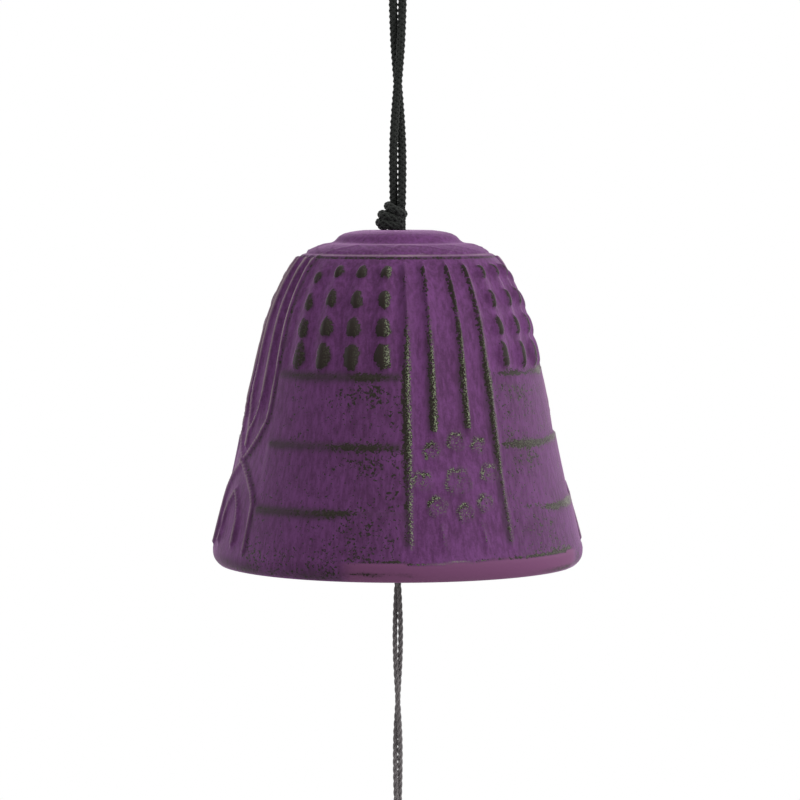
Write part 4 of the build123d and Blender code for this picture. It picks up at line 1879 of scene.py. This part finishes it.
@dataclass(frozen=True)
class ClapperIron:
    """Black-brown cast iron, rubbed bright on its rim where it strikes."""

    dark: tuple[int, int, int] = (54, 50, 48)
    brown: tuple[int, int, int] = (84, 66, 54)
    rubbed: tuple[int, int, int] = (128, 122, 116)
    speck_scale: float = 1500.0
    relief_mm: float = 0.06

    def material(self, groups: Groups) -> bpy.types.Material:
        """The finish, read from object coordinates and from the stored rub.

        Args:
            groups: the shared node groups.

        Returns:
            The material.
        """
        made, sheet, shader = new_material("clapper_iron")
        where = sheet.add("ShaderNodeTexCoord").outputs["Object"]
        grain = sheet.group(groups.grain, Vector=where, Grit=1.0, Streak=0.3)
        worn = sheet.group(groups.rubbed, Vector=where, Rub=sheet.stored("rub"), Speck=self.speck_scale)
        mask = worn.outputs["Mask"]
        cloud = sheet.ease(grain.outputs["Cloud"], 0.42, 0.64)
        body = sheet.blend(cloud, linear(*self.dark), linear(*self.brown))
        sheet.feed(shader.inputs["Base Color"], sheet.blend(mask, body, linear(*self.rubbed)))
        sheet.feed(shader.inputs["Metallic"], sheet.maths("MULTIPLY", mask, 0.8))
        dull = sheet.maths("SUBTRACT", 0.62, sheet.maths("MULTIPLY", mask, 0.26))
        sheet.feed(shader.inputs["Roughness"], dull)
        sheet.bumped(shader, grain.outputs["Height"], self.relief_mm)
        return made


@dataclass(frozen=True)
class CordFinish:
    """Fibres of one dyed cord, dark in the grooves and lighter where they catch the light."""

    name: str
    deep: tuple[int, int, int]
    light: tuple[int, int, int]
    lean: float
    relief_mm: float
    specular: float = 0.25
    fuzz: float = 0.10
    fuzz_spread: float = 0.5

    def material(self, groups: Groups) -> bpy.types.Material:
        """The finish, read from the strands' UV map.

        Args:
            groups: the shared node groups.

        Returns:
            The material.
        """
        made, sheet, shader = new_material(self.name)
        uv = sheet.add("ShaderNodeTexCoord").outputs["UV"]
        yarn = sheet.group(groups.yarn, Vector=uv, Lean=self.lean)
        fibre, fuzz = yarn.outputs["Fibre"], yarn.outputs["Fuzz"]
        shade = sheet.maths("ADD", sheet.maths("MULTIPLY", fibre, 0.7), sheet.maths("MULTIPLY", fuzz, 0.3))
        colour = sheet.blend(sheet.ease(shade, 0.36, 0.66), linear(*self.deep), linear(*self.light))
        sheet.feed(shader.inputs["Base Color"], colour)
        sheet.feed(shader.inputs["Roughness"], sheet.ease(fuzz, 0.3, 0.7, 0.62, 0.85))
        shader.inputs["Specular IOR Level"].default_value = self.specular
        shader.inputs["Sheen Weight"].default_value = self.fuzz
        shader.inputs["Sheen Roughness"].default_value = self.fuzz_spread
        sheet.bumped(shader, yarn.outputs["Height"], self.relief_mm)
        return made


@dataclass(frozen=True)
class HandMadePaper:
    """Soft off-white paper with long fibres in it, from the strip's UV map in millimetres."""

    pulp: tuple[int, int, int] = (240, 235, 222)
    thin: tuple[int, int, int] = (229, 222, 205)
    fibre: tuple[int, int, int] = (206, 194, 166)
    roughness: float = 0.85
    specular: float = 0.25
    relief_mm: float = 0.04

    def material(self) -> bpy.types.Material:
        """The finish: slow clouds of pulp, and three sets of fibres as thin bands of stretched noise.

        Returns:
            The material.
        """
        made, sheet, shader = new_material("paper")
        uv = sheet.add("ShaderNodeTexCoord").outputs["UV"]
        cloud = sheet.noise(uv, 0.34, 5.0, 0.65)
        body = sheet.blend(sheet.ease(cloud, 0.35, 0.65), linear(*self.thin), linear(*self.pulp))
        fibres: object = 0.0
        for turn, scale in ((0.5, (0.9, 0.16, 1.0)), (-0.9, (0.8, 0.13, 1.0)), (1.9, (0.7, 0.2, 1.0))):
            band = sheet.noise(sheet.stretch(uv, scale, (0.0, 0.0, turn)), 1.1, 2.0, 0.5)
            near = sheet.maths("ABSOLUTE", sheet.maths("SUBTRACT", band, 0.56))
            fibres = sheet.maths("MAXIMUM", fibres, sheet.ease(near, 0.012, 0.0))
        colour = sheet.blend(sheet.maths("MULTIPLY", fibres, 0.7), body, linear(*self.fibre))
        sheet.feed(shader.inputs["Base Color"], colour)
        shader.inputs["Roughness"].default_value = self.roughness
        shader.inputs["Specular IOR Level"].default_value = self.specular
        sheet.bumped(shader, sheet.maths("ADD", fibres, sheet.noise(uv, 2.4, 4.0, 0.7)), self.relief_mm)
        return made


# The studio


@dataclass
class Lamp:
    """A soft lamp: where it stands, how large and how strong it is."""

    name: str
    azimuth: float
    elevation: float
    distance: float
    size: float
    power: float

    def build(self, aim: Vector) -> None:
        """Puts the lamp at its place round a point, facing it. Azimuth 0 is in front and 90 is at +X.

        Args:
            aim: the point, in metres.
        """
        data = bpy.data.lights.new(self.name, "AREA")
        data.shape = "DISK"
        data.size = self.size
        data.energy = self.power
        lamp = bpy.data.objects.new(self.name, data)
        a, e = np.radians(self.azimuth), np.radians(self.elevation)
        out = Vector((np.sin(a) * np.cos(e), -np.cos(a) * np.cos(e), np.sin(e)))
        lamp.location = aim + out * self.distance
        lamp.rotation_euler = (-out).to_track_quat("-Z", "Y").to_euler()
        bpy.context.scene.collection.objects.link(lamp)


@dataclass
class Studio:
    """The camera, the lamps, the white surround and the pale floor."""

    camera_place: Point = (0.00042, -0.650, -0.050)
    camera_pitch_deg: float = 3.7
    lens: float = 155.0
    sensor: float = 36.0
    lamp_aim: Point = (0.0, 0.0, -0.092)
    floor_z: float = -0.330
    floor_radius: float = 0.60
    floor_fade_from: float = 0.25
    floor_light: tuple[int, int, int] = (240, 239, 238)
    floor_dark: tuple[int, int, int] = (232, 231, 229)
    fill: float = 0.40
    lamps: tuple[Lamp, ...] = (
        Lamp("key", 62.0, 22.0, 0.60, 0.40, 1.65),
        Lamp("back_right", 118.0, 12.0, 0.60, 0.30, 0.70),
        Lamp("side_left", -112.0, 10.0, 0.65, 0.30, 0.65),
        Lamp("top", 10.0, 78.0, 0.55, 0.40, 0.50),
    )

    def build(self) -> None:
        """Sets up everything round the object."""
        self.build_camera()
        self.build_surround()
        self.build_floor()
        for lamp in self.lamps:
            lamp.build(Vector(self.lamp_aim))

    def build_camera(self) -> None:
        """The camera at the photograph's place, looking a little down."""
        data = bpy.data.cameras.new("camera")
        data.lens = self.lens
        data.sensor_width = self.sensor
        data.clip_start, data.clip_end = 0.01, 20.0
        camera = bpy.data.objects.new("camera", data)
        camera.location = self.camera_place
        camera.rotation_euler = (np.radians(90.0 - self.camera_pitch_deg), 0.0, 0.0)
        bpy.context.scene.collection.objects.link(camera)
        bpy.context.scene.camera = camera

    def build_surround(self) -> None:
        """White to the camera, to reflections and through glass, and a plain fill light elsewhere."""
        scene = bpy.context.scene
        scene.view_settings.view_transform = "Standard"
        world = bpy.data.worlds.new("surround")
        world.use_nodes = True
        scene.world = world
        sheet = Sheet(world.node_tree)
        world.node_tree.nodes.clear()
        path = sheet.add("ShaderNodeLightPath")
        seen = path.outputs["Is Camera Ray"]
        for ray in ("Is Glossy Ray", "Is Transmission Ray"):
            seen = sheet.maths("MAXIMUM", seen, path.outputs[ray])
        back = sheet.add("ShaderNodeBackground")
        out = sheet.add("ShaderNodeOutputWorld")
        back.inputs["Color"].default_value = (1.0, 1.0, 1.0, 1.0)
        sheet.feed(back.inputs["Strength"], sheet.ease(seen, 0.0, 1.0, self.fill, 1.0))
        sheet.feed(out.inputs["Surface"], back.outputs[0])

    def build_floor(self) -> None:
        """A round pale floor under the strip. It fades out towards its rim, as alpha falls with distance."""
        rings, columns = 24, 96
        r = np.linspace(0.0, self.floor_radius / MM, rings)[1:, None]
        a = np.linspace(0.0, 2 * np.pi, columns, endpoint=False)[None, :]
        z = self.floor_z / MM
        points = np.stack([r * np.cos(a), r * np.sin(a), np.full((rings - 1, columns), z)], -1)
        points = np.vstack([points.reshape(-1, 3), [[0.0, 0.0, z]]])
        j = np.arange(columns)
        middle = np.column_stack([j, (j + 1) % columns, np.full(columns, len(points) - 1)])
        floor = make_mesh("floor", points, grid_faces(rings - 1, columns, False, True)[:, ::-1], middle)
        material, sheet, shader = new_material("floor")
        where = sheet.add("ShaderNodeTexCoord").outputs["Object"]
        flat = sheet.add("ShaderNodeVectorMath", operation="LENGTH")
        sheet.feed(flat.inputs[0], sheet.stretch(where, (1.0, 1.0, 0.0)))
        fade = sheet.ease(flat.outputs["Value"], self.floor_fade_from, self.floor_radius - 0.02, 1.0, 0.0)
        below = sheet.add("ShaderNodeNewGeometry").outputs["Backfacing"]
        sheet.feed(shader.inputs["Alpha"], sheet.maths("MULTIPLY", fade, sheet.maths("SUBTRACT", 1.0, below)))
        dark, light = linear(*self.floor_dark), linear(*self.floor_light)
        sheet.feed(shader.inputs["Base Color"], sheet.blend(sheet.noise(where, 30.0, 3.0), dark, light))
        shader.inputs["Roughness"].default_value = 0.7
        floor.data.materials.append(material)


# The whole wind bell


@dataclass
class DoubledCord:
    """A doubled cord's stretch: its left leg and its twin, turned half round the axis."""

    part: str
    body: Body
    top_z: float
    route: tuple[Point, ...]
    cordage: Cordage

    def build(self, slot: Slot, finish: bpy.types.Material) -> None:
        """Makes both legs.

        Args:
            slot: the record's slot.
            finish: the cord's material.
        """
        for name, side in (("left", 1), ("right", -1)):
            leg = CordLeg(
                f"{self.part}_cord_{name}",
                f"{self.part}_leg_{name}",
                self.body,
                hung_from(self.top_z, self.route, side),
                self.cordage,
                phase=(1 - side) * np.pi / 2,
            )
            leg.build(slot, finish)


@dataclass
class HangingCord:
    """The thick black cord: its loop, its two wound legs, and its knots above and below the crown."""

    finish: bpy.types.Material

    def build(self) -> None:
        """Makes the cord's pieces."""
        route = np.array(LOOP_ROUTE)
        loop = CordLeg("hanging_loop_cord", "hanging_loop", Body.LOOP, route, THICK, far_end="object")
        loop.build(Slot.THICK_CORD, self.finish)
        legs = DoubledCord("hanging", Body.CORD, THROAT_Z, HANGING_LEG_ROUTE, THICK)
        legs.build(Slot.THICK_CORD, self.finish)
        for knot in (CROWN_KNOT, STOPPER_KNOT):
            knot.build(Body.KNOTS, Slot.THICK_CORD, self.finish)


@dataclass
class StrikerCord:
    """The thin laid cord: its hitch, the legs to the clapper, the knot there, the tail and the tie."""

    finish: bpy.types.Material
    tie_ring_z: float = -173.9
    tie_ring_radius: float = 2.88

    def build(self) -> None:
        """Makes the cord's pieces."""
        for legs in (
            DoubledCord("clapper", Body.CLAPPER, HITCH_Z, CLAPPER_LEG_ROUTE, THIN),
            DoubledCord("tail", Body.TAIL, CLAPPER_KNOT_Z, TAIL_LEG_ROUTE, THIN),
        ):
            legs.build(Slot.THIN_CORD, self.finish)
        CLAPPER_HITCH.build(Body.HITCH, Slot.THIN_CORD, self.finish)
        CLAPPER_KNOT.build(Body.CLAPPER, Slot.THIN_CORD, self.finish)
        ring = ring_line(self.tie_ring_z, self.tie_ring_radius)
        tie = cord_tubes(ring, np.array((1.0, 0.0, 0.0)), THIN)
        TAIL_KNOT.build(Body.TIE, Slot.THIN_CORD, self.finish, (tie,))


def main() -> None:
    """Builds the studio and then the bell from the top down."""
    groups = Groups.made()
    Studio().build()
    HangingCord(CordFinish("thick_cord", (14, 15, 14), (44, 48, 44), 0.9, 0.05).material(groups)).build()
    StrikerCord(CordFinish("thin_cord", (84, 80, 83), (158, 152, 153), 1.1, 0.03).material(groups)).build()
    BellCasting().build(PaintedIron().material(groups))
    ClapperPlate().build(ClapperIron().material(groups))
    PaperStrip().build(HandMadePaper().material())


if __name__ == "__main__":
    main()
